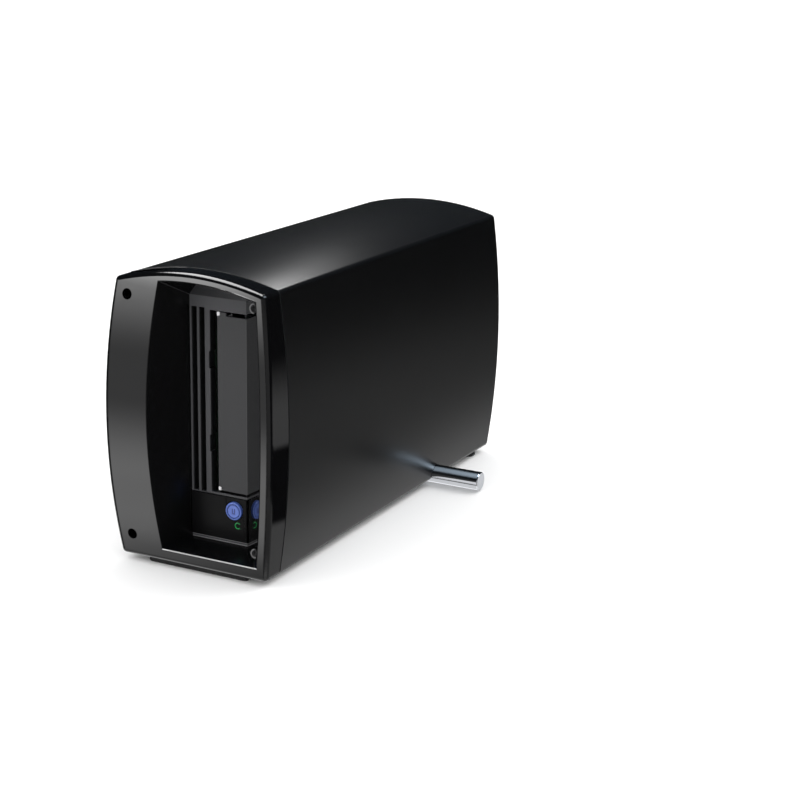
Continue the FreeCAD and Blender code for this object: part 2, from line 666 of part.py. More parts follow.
def rod_clamps():
    """Two saddles on the sleeve's floor that hold the rod down in its trough."""
    clamps = []
    for x in (-CLAMP_X, CLAMP_X):
        saddle = block((x - CLAMP_WIDTH / 2, x + CLAMP_WIDTH / 2),
                       (ROD_Y - CLAMP_LENGTH / 2, ROD_Y + CLAMP_LENGTH / 2),
                       (BASE + SHELL_WALL, BASE + CLAMP_TOP))
        saddle = rounded(saddle, 4.0, lambda edge: runs_along(ALONG_X)(edge) and edge.BoundBox.ZMin > ROD_Z)
        groove = round_bar(ALONG_X, ROD_RADIUS + PIN_FIT, V(x - CLAMP_WIDTH, ROD_Y, ROD_Z), 2 * CLAMP_WIDTH)
        slot = block((x - CLAMP_WIDTH, x + CLAMP_WIDTH),
                     (ROD_Y - ROD_RADIUS - PIN_FIT, ROD_Y + ROD_RADIUS + PIN_FIT), (BASE, ROD_Z))
        clamps.append(saddle.cut([groove, slot]))
    shape = Part.makeCompound(clamps)
    seat = clamp_seat()
    cuts = []
    for x, y in clamp_screws_at():
        cuts.append(round_bar(ALONG_Z, SCREW_RADIUS, V(x, y, BASE), CLAMP_TOP))
        cuts.append(round_bar(ALONG_Z, HEAD_RADIUS + SLIP, V(x, y, seat), CLAMP_TOP))
    return shape.cut(cuts)


def clamp_seat():
    """Height of the counterbored seats in the clamps."""
    return BASE + CLAMP_TOP - HEAD_HEIGHT - 3.0


def rod_clamp_screws():
    """Four screws from the clamps down into the sleeve's floor."""
    shank = clamp_seat() - BASE - 0.4
    return Part.makeCompound([screw_z(x, y, clamp_seat(), shank, -1) for x, y in clamp_screws_at()])


def bezel_screws():
    """Four screws through the bezel's bosses into the bulkhead."""
    seat = FRONT + SCREW_SEAT
    shank = BULKHEAD_Y + SHEET + NUT_HEIGHT + 1 - seat
    return Part.makeCompound([screw_y(x, z, seat, shank) for x, z in BEZEL_SCREWS])


def arm_screws_at():
    """Places of the two screws that hold the chassis arm to the rear panel."""
    x = WEB_X - SHEET - ARM_FOOT / 2
    return [(x, BASE + ARM_LOW + ARM_HEIGHT * share) for share in ARM_SCREW_SHARES]


def drive_screws_at():
    """Places along Y of the screws that hold the drive between the chassis flanges."""
    return [BODY_Y + DRIVE_SCREW_FRONT, FLANGE_END - DRIVE_SCREW_REAR]


def inner_chassis():
    """Folded frame: bulkhead behind the bezel, web beside the drive, flanges and an arm to the rear."""
    bulkhead = barrel(SHELL_WALL + SLIP, BULKHEAD_Y, BULKHEAD_Y + SHEET)
    half_width = FACE_WIDTH / 2 + WINDOW_GAP
    half_height = FACE_HEIGHT / 2 + WINDOW_GAP
    window = block((SEAT_X - half_width, SEAT_X + half_width), (BULKHEAD_Y - 1, BULKHEAD_Y + 9),
                   (DRIVE_Z - half_height, DRIVE_Z + half_height))
    inner_side = side_x(MID_Z) - SHELL_WALL - SLIP
    low_edge = BASE + SCREW_LOW_Z + 2 * BULKHEAD_RIM
    high_edge = BASE + SCREW_HIGH_Z - 2 * BULKHEAD_RIM
    left_light = block((-inner_side + BULKHEAD_RIM, WEB_X - SHEET - BULKHEAD_RIM / 2),
                       (BULKHEAD_Y - 1, BULKHEAD_Y + 9), (low_edge, high_edge))
    right_light = block((SEAT_X + half_width + BULKHEAD_RIM / 2, inner_side - BULKHEAD_RIM),
                        (BULKHEAD_Y - 1, BULKHEAD_Y + 9), (low_edge, high_edge))
    lights = [rounded(light, BULKHEAD_RIM / 3, runs_along(ALONG_Y)) for light in (left_light, right_light)]
    web_end = BODY_END + WEB_OVERHANG
    web = block((WEB_X - SHEET, WEB_X), (BULKHEAD_Y, web_end), (FLANGE_LOW, FLANGE_HIGH))
    reach = (WEB_X - SHEET, BODY_RIGHT - DRIVE_SHEET)
    flange_y = (BULKHEAD_Y + FLANGE_START, FLANGE_END)
    low_flange = block(reach, flange_y, (FLANGE_LOW, FLANGE_LOW + SHEET))
    high_flange = block(reach, flange_y, (FLANGE_HIGH - SHEET, FLANGE_HIGH))
    arm = block((WEB_X - SHEET, WEB_X), (web_end - 1, PANEL_BACK),
                (BASE + ARM_LOW, BASE + ARM_LOW + ARM_HEIGHT))
    foot = block((WEB_X - SHEET - ARM_FOOT, WEB_X), (PANEL_BACK - SHEET, PANEL_BACK),
                 (BASE + ARM_LOW, BASE + ARM_LOW + ARM_HEIGHT))
    nuts = [round_bar(ALONG_Y, NUT_RADIUS, V(x, BULKHEAD_Y + SHEET, z), NUT_HEIGHT) for x, z in BEZEL_SCREWS]
    frame = joined([bulkhead.cut([window] + lights), web, low_flange, high_flange, arm, foot] + nuts)
    rod_relief = round_bar(ALONG_X, ROD_RADIUS + ROD_MARGIN, V(WEB_X - ARM_FOOT, ROD_Y, ROD_Z), 2 * ARM_FOOT)
    cuts = [rod_relief, window]
    for x, z in BEZEL_SCREWS:
        cuts.append(round_bar(ALONG_Y, SCREW_RADIUS, V(x, BULKHEAD_Y - 1, z), SHEET + NUT_HEIGHT + 2))
    for x, z in arm_screws_at():
        cuts.append(round_bar(ALONG_Y, SCREW_RADIUS, V(x, PANEL_BACK - SHEET - 1, z), SHEET + 2))
    span = FLANGE_HIGH - FLANGE_LOW
    for y in drive_screws_at():
        cuts.append(round_bar(ALONG_Z, SCREW_RADIUS, V(SEAT_X, y, FLANGE_LOW - 1), span + 2))
    for x, y, z in supply_standoffs_at():
        cuts.append(round_bar(ALONG_X, SCREW_RADIUS, V(x - 1, y, z), SHEET + 2))
    relief_y = (BODY_Y + WEB_RELIEF_START, BODY_Y + WEB_RELIEF_START + WEB_RELIEF_LENGTH)
    for share in WEB_RELIEF_SHARES:
        low = FLANGE_LOW + span * share - WEB_RELIEF_HEIGHT / 2
        relief = block((WEB_X - 2 * SHEET, WEB_X + SHEET), relief_y, (low, low + WEB_RELIEF_HEIGHT))
        cuts.append(rounded(relief, 0.49 * WEB_RELIEF_HEIGHT, runs_along(ALONG_X)))
    return frame.cut(cuts)


def drive_screws():
    """Four screws through the chassis flanges into the sides of the drive."""
    shank = SHEET + FLANGE_GAP + DRIVE_SHEET + 1
    screws = []
    for y in drive_screws_at():
        screws.append(screw_z(SEAT_X, y, FLANGE_LOW, shank, 1))
        screws.append(screw_z(SEAT_X, y, FLANGE_HIGH, shank, -1))
    return Part.makeCompound(screws)


def standoffs_at():
    """Places along Y and Z of the posts that carry the deck plate and pass through the drive's board."""
    ends = (BODY_Y + STANDOFF_FRONT, BODY_END - STANDOFF_REAR)
    return [(y, z) for y in ends for z in (BODY_LOW + STANDOFF_INSET, BODY_HIGH - STANDOFF_INSET)]


def drive_base():
    """Pan of the drive: floor, two side walls and a rear wall, with posts for the deck."""
    wall = DRIVE_SHEET
    lid = BODY_RIGHT - COVER_SHEET
    floor = BODY_LEFT + wall
    pan = block((BODY_LEFT, lid), (BODY_Y, BODY_END), (BODY_LOW, BODY_HIGH))
    inside_z = (BODY_LOW + wall, BODY_HIGH - wall)
    pan = pan.cut(block((floor, lid + 1), (BODY_Y - 1, BODY_END - wall), inside_z))
    posts = [round_bar(ALONG_X, STANDOFF_RADIUS, V(floor, y, z), DECK_X - floor) for y, z in standoffs_at()]
    holes = [block((x0, x1), (BODY_END - 2 * wall, BODY_END + 1), (z0, z1))
             for x0, x1, z0, z1 in drive_connectors_at()]
    for y in drive_screws_at():
        holes.append(round_bar(ALONG_Z, SCREW_RADIUS, V(SEAT_X, y, BODY_LOW - 1), BODY_HEIGHT + 2))
    return joined([pan] + posts).cut(holes)


def drive_cover():
    """Sheet lid of the drive with a shallow pressed panel and a folded lip at its rear."""
    lid = BODY_RIGHT - COVER_SHEET
    sheet = block((lid, BODY_RIGHT), (BODY_Y, BODY_END), (BODY_LOW, BODY_HIGH))
    pressed = block((BODY_RIGHT - COVER_SHEET / 3, BODY_RIGHT + 1),
                    (BODY_Y + COVER_PRESSING, BODY_END - COVER_PRESSING),
                    (BODY_LOW + COVER_PRESSING, BODY_HIGH - COVER_PRESSING))
    sheet = sheet.cut(rounded(pressed, COVER_PRESSING / 2, runs_along(ALONG_X)))
    lip_z = (BODY_LOW + 2 * COVER_PRESSING, DRIVE_Z + COVER_PRESSING)
    lip = block((lid - COVER_LIP, BODY_RIGHT), (BODY_END, BODY_END + COVER_SHEET), lip_z)
    return joined([sheet, lip])


def drive_faceplate():
    """Face of the drive: vent slots, cartridge slot, pocket of the control panel and hinge holes."""
    plate = block((SEAT_X - FACE_WIDTH / 2, SEAT_X + FACE_WIDTH / 2), (FACE_Y, FACE_Y + FACE_THICK),
                  (DRIVE_Z - FACE_HEIGHT / 2, DRIVE_Z + FACE_HEIGHT / 2))
    through = (FACE_Y - 1, FACE_Y + FACE_THICK + 1)
    cuts = [block((SLOT_LEFT, SLOT_RIGHT), through, (BASE + SLOT_LOW, BASE + SLOT_HIGH))]
    for middle in (SLOT_MID - NOTCH_OFFSET, SLOT_MID + NOTCH_OFFSET):
        cuts.append(block((SLOT_LEFT - NOTCH_DEPTH, SLOT_LEFT + 1), through,
                          (middle - NOTCH_HEIGHT / 2, middle + NOTCH_HEIGHT / 2)))
    for index in range(VENT_COUNT):
        left = VENT_LEFT + index * VENT_PITCH
        cuts.append(block((left, left + VENT_WIDTH), through, (BASE + VENT_LOW, BASE + VENT_HIGH)))
    pocket = (SEAT_LEFT + PANEL_SIDE_GAP / 2, SEAT_RIGHT - PANEL_SIDE_GAP / 2)
    pocket_depth = PANEL_THICK - PANEL_PROUD
    cuts.append(block(pocket, (FACE_Y - 1, FACE_Y + pocket_depth), (BASE + PANEL_LOW, BASE + PANEL_HIGH)))
    cuts.append(block((pocket[0] + PANEL_LEDGE, pocket[1] - PANEL_LEDGE), through,
                      (BASE + PANEL_LOW + PANEL_LEDGE, BASE + PANEL_HIGH - PANEL_LEDGE)))
    cuts.append(door_pin())
    return plate.cut(cuts)


def door_pin():
    """Steel pin of the door's hinge, held in the faceplate above and below the slot."""
    low = BASE + SLOT_LOW - PIN_BITE / 2
    high = BASE + SLOT_HIGH + PIN_BITE
    return round_bar(ALONG_Z, DOOR_PIN_RADIUS, V(HINGE_X, HINGE_Y, low), high - low)


def door_span():
    """Lower and upper ends of the door."""
    return BASE + SLOT_LOW + DOOR_GAP_LOW, BASE + SLOT_HIGH - DOOR_GAP_HIGH


def cartridge_door():
    """Door leaf with a hinge barrel behind its right edge, split at its middle for the spring."""
    low, high = door_span()
    front = FACE_Y + DOOR_INSET
    right = HINGE_X + DOOR_BARREL
    leaf = block((DOOR_LEFT, right), (front, front + DOOR_THICK), (low, high))
    step = block((DOOR_STEP_X, right + 1), (front - 1, front + 3), (high - DOOR_STEP, high + 1))
    notches = [block((DOOR_LEFT - 1, DOOR_LEFT + 2 * BUSH_RADIUS), (front - 1, front + 3), z)
               for z in ((low - 1, low + BUSH_LENGTH), (high - BUSH_LENGTH, high + 1))]
    leaf = leaf.cut([step] + notches)
    leaf = rounded(leaf, 0.5, lambda edge: runs_along(ALONG_Z)(edge) and edge.BoundBox.YMax < front + 0.1
                   and edge.BoundBox.XMax < DOOR_STEP_X)
    top = high - DOOR_STEP
    barrel_solid = round_bar(ALONG_Z, DOOR_BARREL, V(HINGE_X, HINGE_Y, low), top - low)
    half_gap = SPRING_LENGTH / 2 + SPRING_GAP
    skin = HINGE_Y - DOOR_PIN_RADIUS - SPRING_WIRE - SPRING_GAP / 2
    gap = block((HINGE_X - DOOR_BARREL - DOOR_GAP_HIGH, HINGE_X + 2 * DOOR_BARREL),
                (skin, front + 2 * DOOR_THICK + 1),
                ((low + high) / 2 - half_gap, (low + high) / 2 + half_gap))
    bore = round_bar(ALONG_Z, DOOR_PIN_RADIUS + PIN_FIT, V(HINGE_X, HINGE_Y, low - 1), high - low + 2)
    return joined([leaf, barrel_solid]).cut([gap, bore])


def door_bushes():
    """White rubbing bushes on the free edge of the door, at its top and bottom."""
    low, high = door_span()
    y = FACE_Y + DOOR_INSET + DOOR_THICK / 2
    x = DOOR_LEFT + BUSH_RADIUS - 0.3
    return Part.makeCompound([round_bar(ALONG_Z, BUSH_RADIUS, V(x, y, z), BUSH_LENGTH)
                              for z in (low, high - BUSH_LENGTH)])


def door_spring():
    """Torsion spring round the door's pin, as the sleeve that its close coils make."""
    low, high = door_span()
    start = (low + high) / 2 - SPRING_LENGTH / 2
    coil = DOOR_PIN_RADIUS + SPRING_WIRE
    return ring(ALONG_Z, coil, DOOR_PIN_RADIUS, V(HINGE_X, HINGE_Y, start), SPRING_LENGTH)


def light_ring(outer, inner, y, depth):
    """Ring with a gap on its right, as deep as given."""
    x = LIGHT_X
    z = BASE + LIGHT_Z
    whole = ring(ALONG_Y, outer, inner, V(x, y, z), depth)
    half = math.radians(LIGHT_OPENING / 2)
    reach = 3 * outer
    wedge = Part.makePolygon([
        V(x, y, z),
        V(x + reach * math.cos(half), y, z + reach * math.sin(half)),
        V(x + reach * math.cos(half), y, z - reach * math.sin(half)),
        V(x, y, z),
    ])
    return whole.cut(Part.Face(wedge).extrude(V(0, depth, 0)))


def control_panel():
    """Raised panel below the slot, with the button's hole, a shallow tab and the light's groove."""
    front = FACE_Y - PANEL_PROUD
    sides = (SEAT_LEFT + PANEL_SIDE_GAP, SEAT_RIGHT - PANEL_SIDE_GAP)
    low = BASE + PANEL_LOW + PANEL_SIDE_GAP
    high = BASE + PANEL_HIGH - PANEL_SIDE_GAP
    plate = block(sides, (front, front + PANEL_THICK), (low, high))
    tab = block((BUTTON_X - TAB_WIDTH / 2, BUTTON_X + TAB_WIDTH / 2), (front - 1, front + TAB_DEPTH),
                (BASE + BUTTON_Z, high + 1))
    hole_at = V(BUTTON_X, front - 1, BASE + BUTTON_Z)
    hole = round_bar(ALONG_Y, BUTTON_RADIUS + BUTTON_GAP, hole_at, PANEL_THICK + 2)
    groove = light_ring(LIGHT_RADIUS, LIGHT_RADIUS - LIGHT_WALL, front - 1, LIGHT_DEPTH + 1)
    return plate.cut([tab, hole, groove])


def status_light():
    """Light pipe seated in the panel's groove and just proud of it."""
    front = FACE_Y - PANEL_PROUD - 0.2
    return light_ring(LIGHT_RADIUS, LIGHT_RADIUS - LIGHT_WALL, front, LIGHT_DEPTH + 0.2)


def button_back():
    """Rear end of the button's stem at rest."""
    return FACE_Y - PANEL_PROUD + CONTROL_BOARD_GAP - BUTTON_TRAVEL - 1.5


def eject_button():
    """Round cap with a dished face, a retaining flange and a stem to its switch."""
    front = FACE_Y - PANEL_PROUD - BUTTON_PROUD
    inner = FACE_Y - PANEL_PROUD + PANEL_THICK + BUTTON_GAP
    z = BASE + BUTTON_Z
    cap = round_bar(ALONG_Y, BUTTON_RADIUS, V(BUTTON_X, front, z), inner - front + 0.6)
    cap = rounded(cap, 0.6, lambda edge: edge.BoundBox.YMax < front + 0.1)
    dish = Part.makeSphere(60.0, V(BUTTON_X, front - 60.0 + 0.25, z))
    flange = round_bar(ALONG_Y, BUTTON_RADIUS + 0.9, V(BUTTON_X, inner, z), 0.6)
    stem = round_bar(ALONG_Y, BUTTON_RADIUS / 2, V(BUTTON_X, inner, z), button_back() - inner)
    return joined([cap, flange, stem]).cut(dish)


def control_board():
    """Small board behind the panel, with the button's switch and the lamp of the light pipe."""
    front = FACE_Y - PANEL_PROUD + CONTROL_BOARD_GAP
    inset = CONTROL_BOARD_INSET
    board = block((SEAT_LEFT + inset, SEAT_RIGHT - inset), (front, front + BOARD / 2),
                  (BASE + PANEL_LOW + inset, BASE + PANEL_HIGH - inset))

    def part_on_board(x, z, size, part_front):
        half = size / 2
        return block((x - half, x + half), (part_front, front), (BASE + z - half, BASE + z + half))

    switch = part_on_board(BUTTON_X, BUTTON_Z, SWITCH_SIZE, button_back() + BUTTON_TRAVEL + RUNNER_GAP)
    lamp = part_on_board(LIGHT_X, LIGHT_Z, LAMP_SIZE, FACE_Y - PANEL_PROUD + PANEL_THICK)
    return Part.makeCompound([board, switch, lamp])


def spindle(setback, z):
    """Place of a spindle on the deck, from its distance behind the face and its height."""
    return V(DECK_X, FACE_Y + setback, z)


CLUTCH_AT = spindle(CLUTCH_SETBACK, SLOT_MID)
REEL_AT = spindle(REEL_SETBACK, BASE + REEL_Z)
HEAD_AT = spindle(REEL_SETBACK - HEAD_AHEAD, BASE + HEAD_Z)
ROLLERS_AT = [spindle(REEL_SETBACK + behind, BASE + z) for behind, z in ROLLER_PLACES]


def deck_plate():
    """Plate that carries the motors, the rollers and the head, on the posts of the pan."""
    low = BODY_LOW + DRIVE_SHEET + DECK_MARGIN
    high = BODY_HIGH - DRIVE_SHEET - DECK_MARGIN
    end = BODY_END - DRIVE_SHEET - DECK_MARGIN
    plate = block((DECK_X, DECK_TOP), (FACE_Y + DECK_START, end), (low, high))
    plate = rounded(plate, 5.0, runs_along(ALONG_X))
    rail_y = (FACE_Y + CARRIER_START, FACE_Y + CARRIER_START + CARRIER_LENGTH + CARRIER_TRAVEL / 2)
    offset = CARTRIDGE_HEIGHT / 2 + CARRIER_SIDE_GAP - RUNNER_INSET
    rail_x = (DECK_X, CARRIER_FLOOR_X - RUNNER_GAP)
    rails = [block(rail_x, rail_y, (z - RUNNER_WIDTH / 2, z + RUNNER_WIDTH / 2))
             for z in (SLOT_MID - offset, SLOT_MID + offset)]
    plate = joined([plate] + rails)
    cuts = [round_bar(ALONG_X, SPINDLE_RADIUS + PIN_FIT, V(DECK_X - 1, at.y, at.z), DECK_THICK + 2)
            for at in (CLUTCH_AT, REEL_AT)]
    cuts += [round_bar(ALONG_X, POST_RADIUS, V(DECK_X - 1, at.y, at.z), DECK_THICK + 2) for at in ROLLERS_AT]
    relief_y = (FACE_Y + DECK_START + RUNNER_INSET, CLUTCH_AT.y - MOTOR_RADIUS - DECK_MARGIN)
    relief_reach = offset - 2 * RUNNER_INSET
    relief = block((DECK_X - 1, DECK_TOP + 1), relief_y, (SLOT_MID - relief_reach, SLOT_MID + relief_reach))
    cuts.append(rounded(relief, 0.4 * (relief_y[1] - relief_y[0]), runs_along(ALONG_X)))
    return plate.cut(cuts)


def motor(at):
    """Flat stator under the deck, with its poles, round a spindle."""
    body = ring(ALONG_X, MOTOR_RADIUS, SPINDLE_RADIUS + 0.6, V(DECK_X - MOTOR_THICK, at.y, at.z), MOTOR_THICK)
    slots = []
    for index in range(9):
        slot = block((DECK_X - MOTOR_THICK - 1, DECK_X - 1), (at.y - 0.8, at.y + 0.8),
                     (at.z + MOTOR_RADIUS * 0.55, at.z + MOTOR_RADIUS + 1))
        slots.append(slot.rotated(at, ALONG_X, index * 40.0))
    return body.cut(slots)


def reel_clutch():
    """Toothed disc that drives the cartridge's hub, on its spindle through the deck."""
    low = DECK_X - MOTOR_THICK
    face = CARRIER_FLOOR_X - 0.3
    disc_low = DECK_TOP + 0.3
    spindle_bar = round_bar(ALONG_X, SPINDLE_RADIUS, V(low, CLUTCH_AT.y, CLUTCH_AT.z), disc_low - low)
    disc = round_bar(ALONG_X, CLUTCH_RADIUS, V(disc_low, CLUTCH_AT.y, CLUTCH_AT.z), (face - disc_low) * 0.55)
    teeth = ring(ALONG_X, CLUTCH_RADIUS - 1, CLUTCH_RADIUS - 5, V(disc_low, CLUTCH_AT.y, CLUTCH_AT.z),
                 face - disc_low)
    gaps = []
    for index in range(CLUTCH_TEETH):
        gap = block((disc_low + (face - disc_low) * 0.55, face + 1), (CLUTCH_AT.y - 0.8, CLUTCH_AT.y + 0.8),
                    (CLUTCH_AT.z + CLUTCH_RADIUS - 7, CLUTCH_AT.z + CLUTCH_RADIUS + 1))
        gaps.append(gap.rotated(CLUTCH_AT, ALONG_X, index * 360.0 / CLUTCH_TEETH))
    return joined([spindle_bar, disc, teeth]).cut(gaps)


def takeup_reel():
    """Two flanges and a hub, with the leader's notch, on a spindle through the deck."""
    low = DECK_X - MOTOR_THICK
    y = REEL_AT.y
    z = REEL_AT.z
    top = REEL_LOW_X + REEL_HEIGHT
    profile = Part.makePolygon([
        V(low, y, z),
        V(low, y, z + SPINDLE_RADIUS),
        V(REEL_LOW_X, y, z + SPINDLE_RADIUS),
        V(REEL_LOW_X, y, z + REEL_RADIUS),
        V(REEL_LOW_X + REEL_FLANGE, y, z + REEL_RADIUS),
        V(REEL_LOW_X + REEL_FLANGE, y, z + REEL_HUB_RADIUS),
        V(top - REEL_FLANGE, y, z + REEL_HUB_RADIUS),
        V(top - REEL_FLANGE, y, z + REEL_RADIUS),
        V(top, y, z + REEL_RADIUS),
        V(top, y, z + REEL_HUB_RADIUS - 4),
        V(top - 5, y, z + REEL_HUB_RADIUS - 6),
        V(top - 5, y, z),
        V(low, y, z),
    ])
    reel = Part.Face(profile).revolve(V(0, y, z), ALONG_X, 360)
    notch = block((REEL_LOW_X + REEL_FLANGE, top - REEL_FLANGE), (y - 3, y + 3),
                  (z + REEL_HUB_RADIUS - 6, z + REEL_HUB_RADIUS + 2))
    lights = [round_bar(ALONG_X, 4.0, V(top - REEL_FLANGE - 1, y, z + (REEL_RADIUS + REEL_HUB_RADIUS) / 2), 9)
              .rotated(REEL_AT, ALONG_X, index * 60.0) for index in range(6)]
    return reel.cut([notch] + lights)


def roller_posts():
    """Fixed pins of the tape rollers, each with a retaining cap."""
    top = ROLLER_LOW_X + ROLLER_HEIGHT + 0.3
    posts = []
    for at in ROLLERS_AT:
        pin = round_bar(ALONG_X, POST_RADIUS, V(DECK_X, at.y, at.z), top - DECK_X)
        foot = round_bar(ALONG_X, POST_RADIUS + 1.5, V(DECK_TOP, at.y, at.z), ROLLER_LOW_X - 0.3 - DECK_TOP)
        cap = round_bar(ALONG_X, POST_RADIUS + 1.2, V(top, at.y, at.z), 1.2)
        posts.append(joined([pin, foot, cap]))
    return Part.makeCompound(posts)


def guide_roller(at):
    """Flanged roller that turns on its post."""
    x0 = ROLLER_LOW_X
    x1 = ROLLER_LOW_X + ROLLER_HEIGHT
    flange = 1.0
    bore = POST_RADIUS + PIN_FIT
    profile = Part.makePolygon([
        V(x0, at.y, at.z + bore),
        V(x0, at.y, at.z + ROLLER_FLANGE),
        V(x0 + flange, at.y, at.z + ROLLER_FLANGE),
        V(x0 + flange, at.y, at.z + ROLLER_RADIUS),
        V(x1 - flange, at.y, at.z + ROLLER_RADIUS),
        V(x1 - flange, at.y, at.z + ROLLER_FLANGE),
        V(x1, at.y, at.z + ROLLER_FLANGE),
        V(x1, at.y, at.z + bore),
        V(x0, at.y, at.z + bore),
    ])
    return Part.Face(profile).revolve(V(0, at.y, at.z), ALONG_X, 360)


def head_guides():
    """Foot and two guide rods that the tape head slides on across the tape."""
    reach = HEAD_LOW_X + HEAD_HEIGHT_X + HEAD_TRAVEL + 1
    foot_top = HEAD_LOW_X - HEAD_TRAVEL - 1
    foot = block((DECK_TOP, foot_top), (HEAD_AT.y - HEAD_WIDTH / 2, HEAD_AT.y + HEAD_WIDTH / 2),
                 (HEAD_AT.z - HEAD_DEPTH / 2, HEAD_AT.z + HEAD_DEPTH / 2))
    rods = [round_bar(ALONG_X, GUIDE_RADIUS, V(foot_top - 1, HEAD_AT.y + side * GUIDE_SPACING / 2, HEAD_AT.z),
                      reach - foot_top + 1) for side in (-1, 1)]
    return joined([foot] + rods)


def tape_head():
    """Head block with two rounded bars towards the tape, bored for its guide rods."""
    front_z = HEAD_AT.z - HEAD_DEPTH / 2
    body = block((HEAD_LOW_X, HEAD_LOW_X + HEAD_HEIGHT_X),
                 (HEAD_AT.y - HEAD_WIDTH / 2, HEAD_AT.y + HEAD_WIDTH / 2),
                 (front_z, front_z + HEAD_DEPTH))
    bars = []
    bores = []
    for side in (-1, 1):
        bar_at = V(HEAD_LOW_X, HEAD_AT.y + side * HEAD_WIDTH / 4, front_z)
        bore_at = V(HEAD_LOW_X - 1, HEAD_AT.y + side * GUIDE_SPACING / 2, HEAD_AT.z)
        bars.append(round_bar(ALONG_X, HEAD_WIDTH / 5, bar_at, HEAD_HEIGHT_X))
        bores.append(round_bar(ALONG_X, GUIDE_RADIUS + PIN_FIT, bore_at, HEAD_HEIGHT_X + 2))
    return joined([body] + bars).cut(bores)


def cartridge_carrier():
    """Sheet tray that takes the cartridge in: a floor with the hub's window and two walls with lips."""
    start = FACE_Y + CARRIER_START
    end = start + CARRIER_LENGTH
    inner = CARTRIDGE_HEIGHT / 2 + CARRIER_SIDE_GAP
    outer = inner + CARRIER_WALL
    top = CARRIER_FLOOR_X + CARRIER_WALL + CARTRIDGE_THICK + 2 * CARRIER_SIDE_GAP
    floor_x = (CARRIER_FLOOR_X, CARRIER_FLOOR_X + CARRIER_WALL)
    pieces = [block(floor_x, (start, end), (SLOT_MID - outer, SLOT_MID + outer))]
    for side in (-1, 1):
        wall_z = sorted((SLOT_MID + side * inner, SLOT_MID + side * outer))
        lip_z = sorted((SLOT_MID + side * (inner - CARRIER_LIP), SLOT_MID + side * outer))
        pieces.append(block((CARRIER_FLOOR_X, top + CARRIER_WALL), (start, end), wall_z))
        pieces.append(block((top, top + CARRIER_WALL), (start + 4, end - 4), lip_z))
    window_low = FACE_Y + CLUTCH_SETBACK - CLUTCH_RADIUS - CARRIER_TRAVEL - 1.5
    window_high = FACE_Y + CLUTCH_SETBACK + CLUTCH_RADIUS + 1.5
    half = CLUTCH_RADIUS + 1.5
    window = block((CARRIER_FLOOR_X - 1, CARRIER_FLOOR_X + 2), (window_low, window_high),
                   (SLOT_MID - half, SLOT_MID + half))
    window = rounded(window, half * 0.9, runs_along(ALONG_X))
    return joined(pieces).cut(window)


def drive_board():
    """Circuit board of the drive, holed for the pan's posts, with its chips."""
    start = FACE_Y + DRIVE_BOARD_START
    end = BODY_END - DRIVE_SHEET - DRIVE_BOARD_REAR
    top = DRIVE_BOARD_X + BOARD
    low = BODY_LOW + DRIVE_SHEET + DECK_MARGIN
    high = BODY_HIGH - DRIVE_SHEET - DECK_MARGIN
    board = block((DRIVE_BOARD_X, top), (start, end), (low, high))
    board = board.cut([round_bar(ALONG_X, STANDOFF_RADIUS + PIN_FIT, V(DRIVE_BOARD_X - 1, y, z), BOARD + 2)
                       for y, z in standoffs_at()])
    chips = []
    for share_y, share_z, side in DRIVE_CHIPS:
        y = start + (end - start) * share_y
        z = low + (high - low) * share_z
        half = side / 2
        chips.append(block((top, top + CHIP_THICK), (y - half, y + half), (z - half, z + half)))
    return Part.makeCompound([board] + chips)


def drive_connectors_at():
    """Outlines of the drive's rear connectors: lowest and highest X, then lowest and highest Z."""
    right = DRIVE_BOARD_X + SOCKET_THICK
    return [(DRIVE_BOARD_X, right, DRIVE_Z + low, DRIVE_Z + high) for low, high in SOCKET_SPANS]


def drive_connectors():
    """Data and power sockets in the rear wall of the drive."""
    sockets = []
    for x0, x1, z0, z1 in drive_connectors_at():
        rear = BODY_END + SOCKET_PROUD
        shell = block((x0, x1), (rear - SOCKET_LENGTH, rear), (z0, z1))
        hollow = block((x0 + 1, x1 - 1), (rear - 0.6 * SOCKET_LENGTH, rear + 1), (z0 + 1, z1 - 1))
        sockets.append(shell.cut(hollow))
    return Part.makeCompound(sockets)


def supply_standoffs_at():
    """Places of the power supply's standoffs on the left face of the web."""
    y0 = FACE_Y + SUPPLY_START
    return [(WEB_X - SHEET, y0 + SUPPLY_LENGTH * sy, BASE + SUPPLY_LOW + SUPPLY_HEIGHT * sz)
            for sy in (0.06, 0.94) for sz in (0.08, 0.92)]


def supply_board():
    """Power supply's board on four standoffs from the web."""
    face = WEB_X - SHEET - SUPPLY_GAP
    y0 = FACE_Y + SUPPLY_START
    z0 = BASE + SUPPLY_LOW
    board = block((face - BOARD, face), (y0, y0 + SUPPLY_LENGTH), (z0, z0 + SUPPLY_HEIGHT))
    posts = [round_bar(-ALONG_X, STANDOFF_RADIUS, V(x, y, z), SUPPLY_GAP)
             for x, y, z in supply_standoffs_at()]
    return joined([board] + posts)


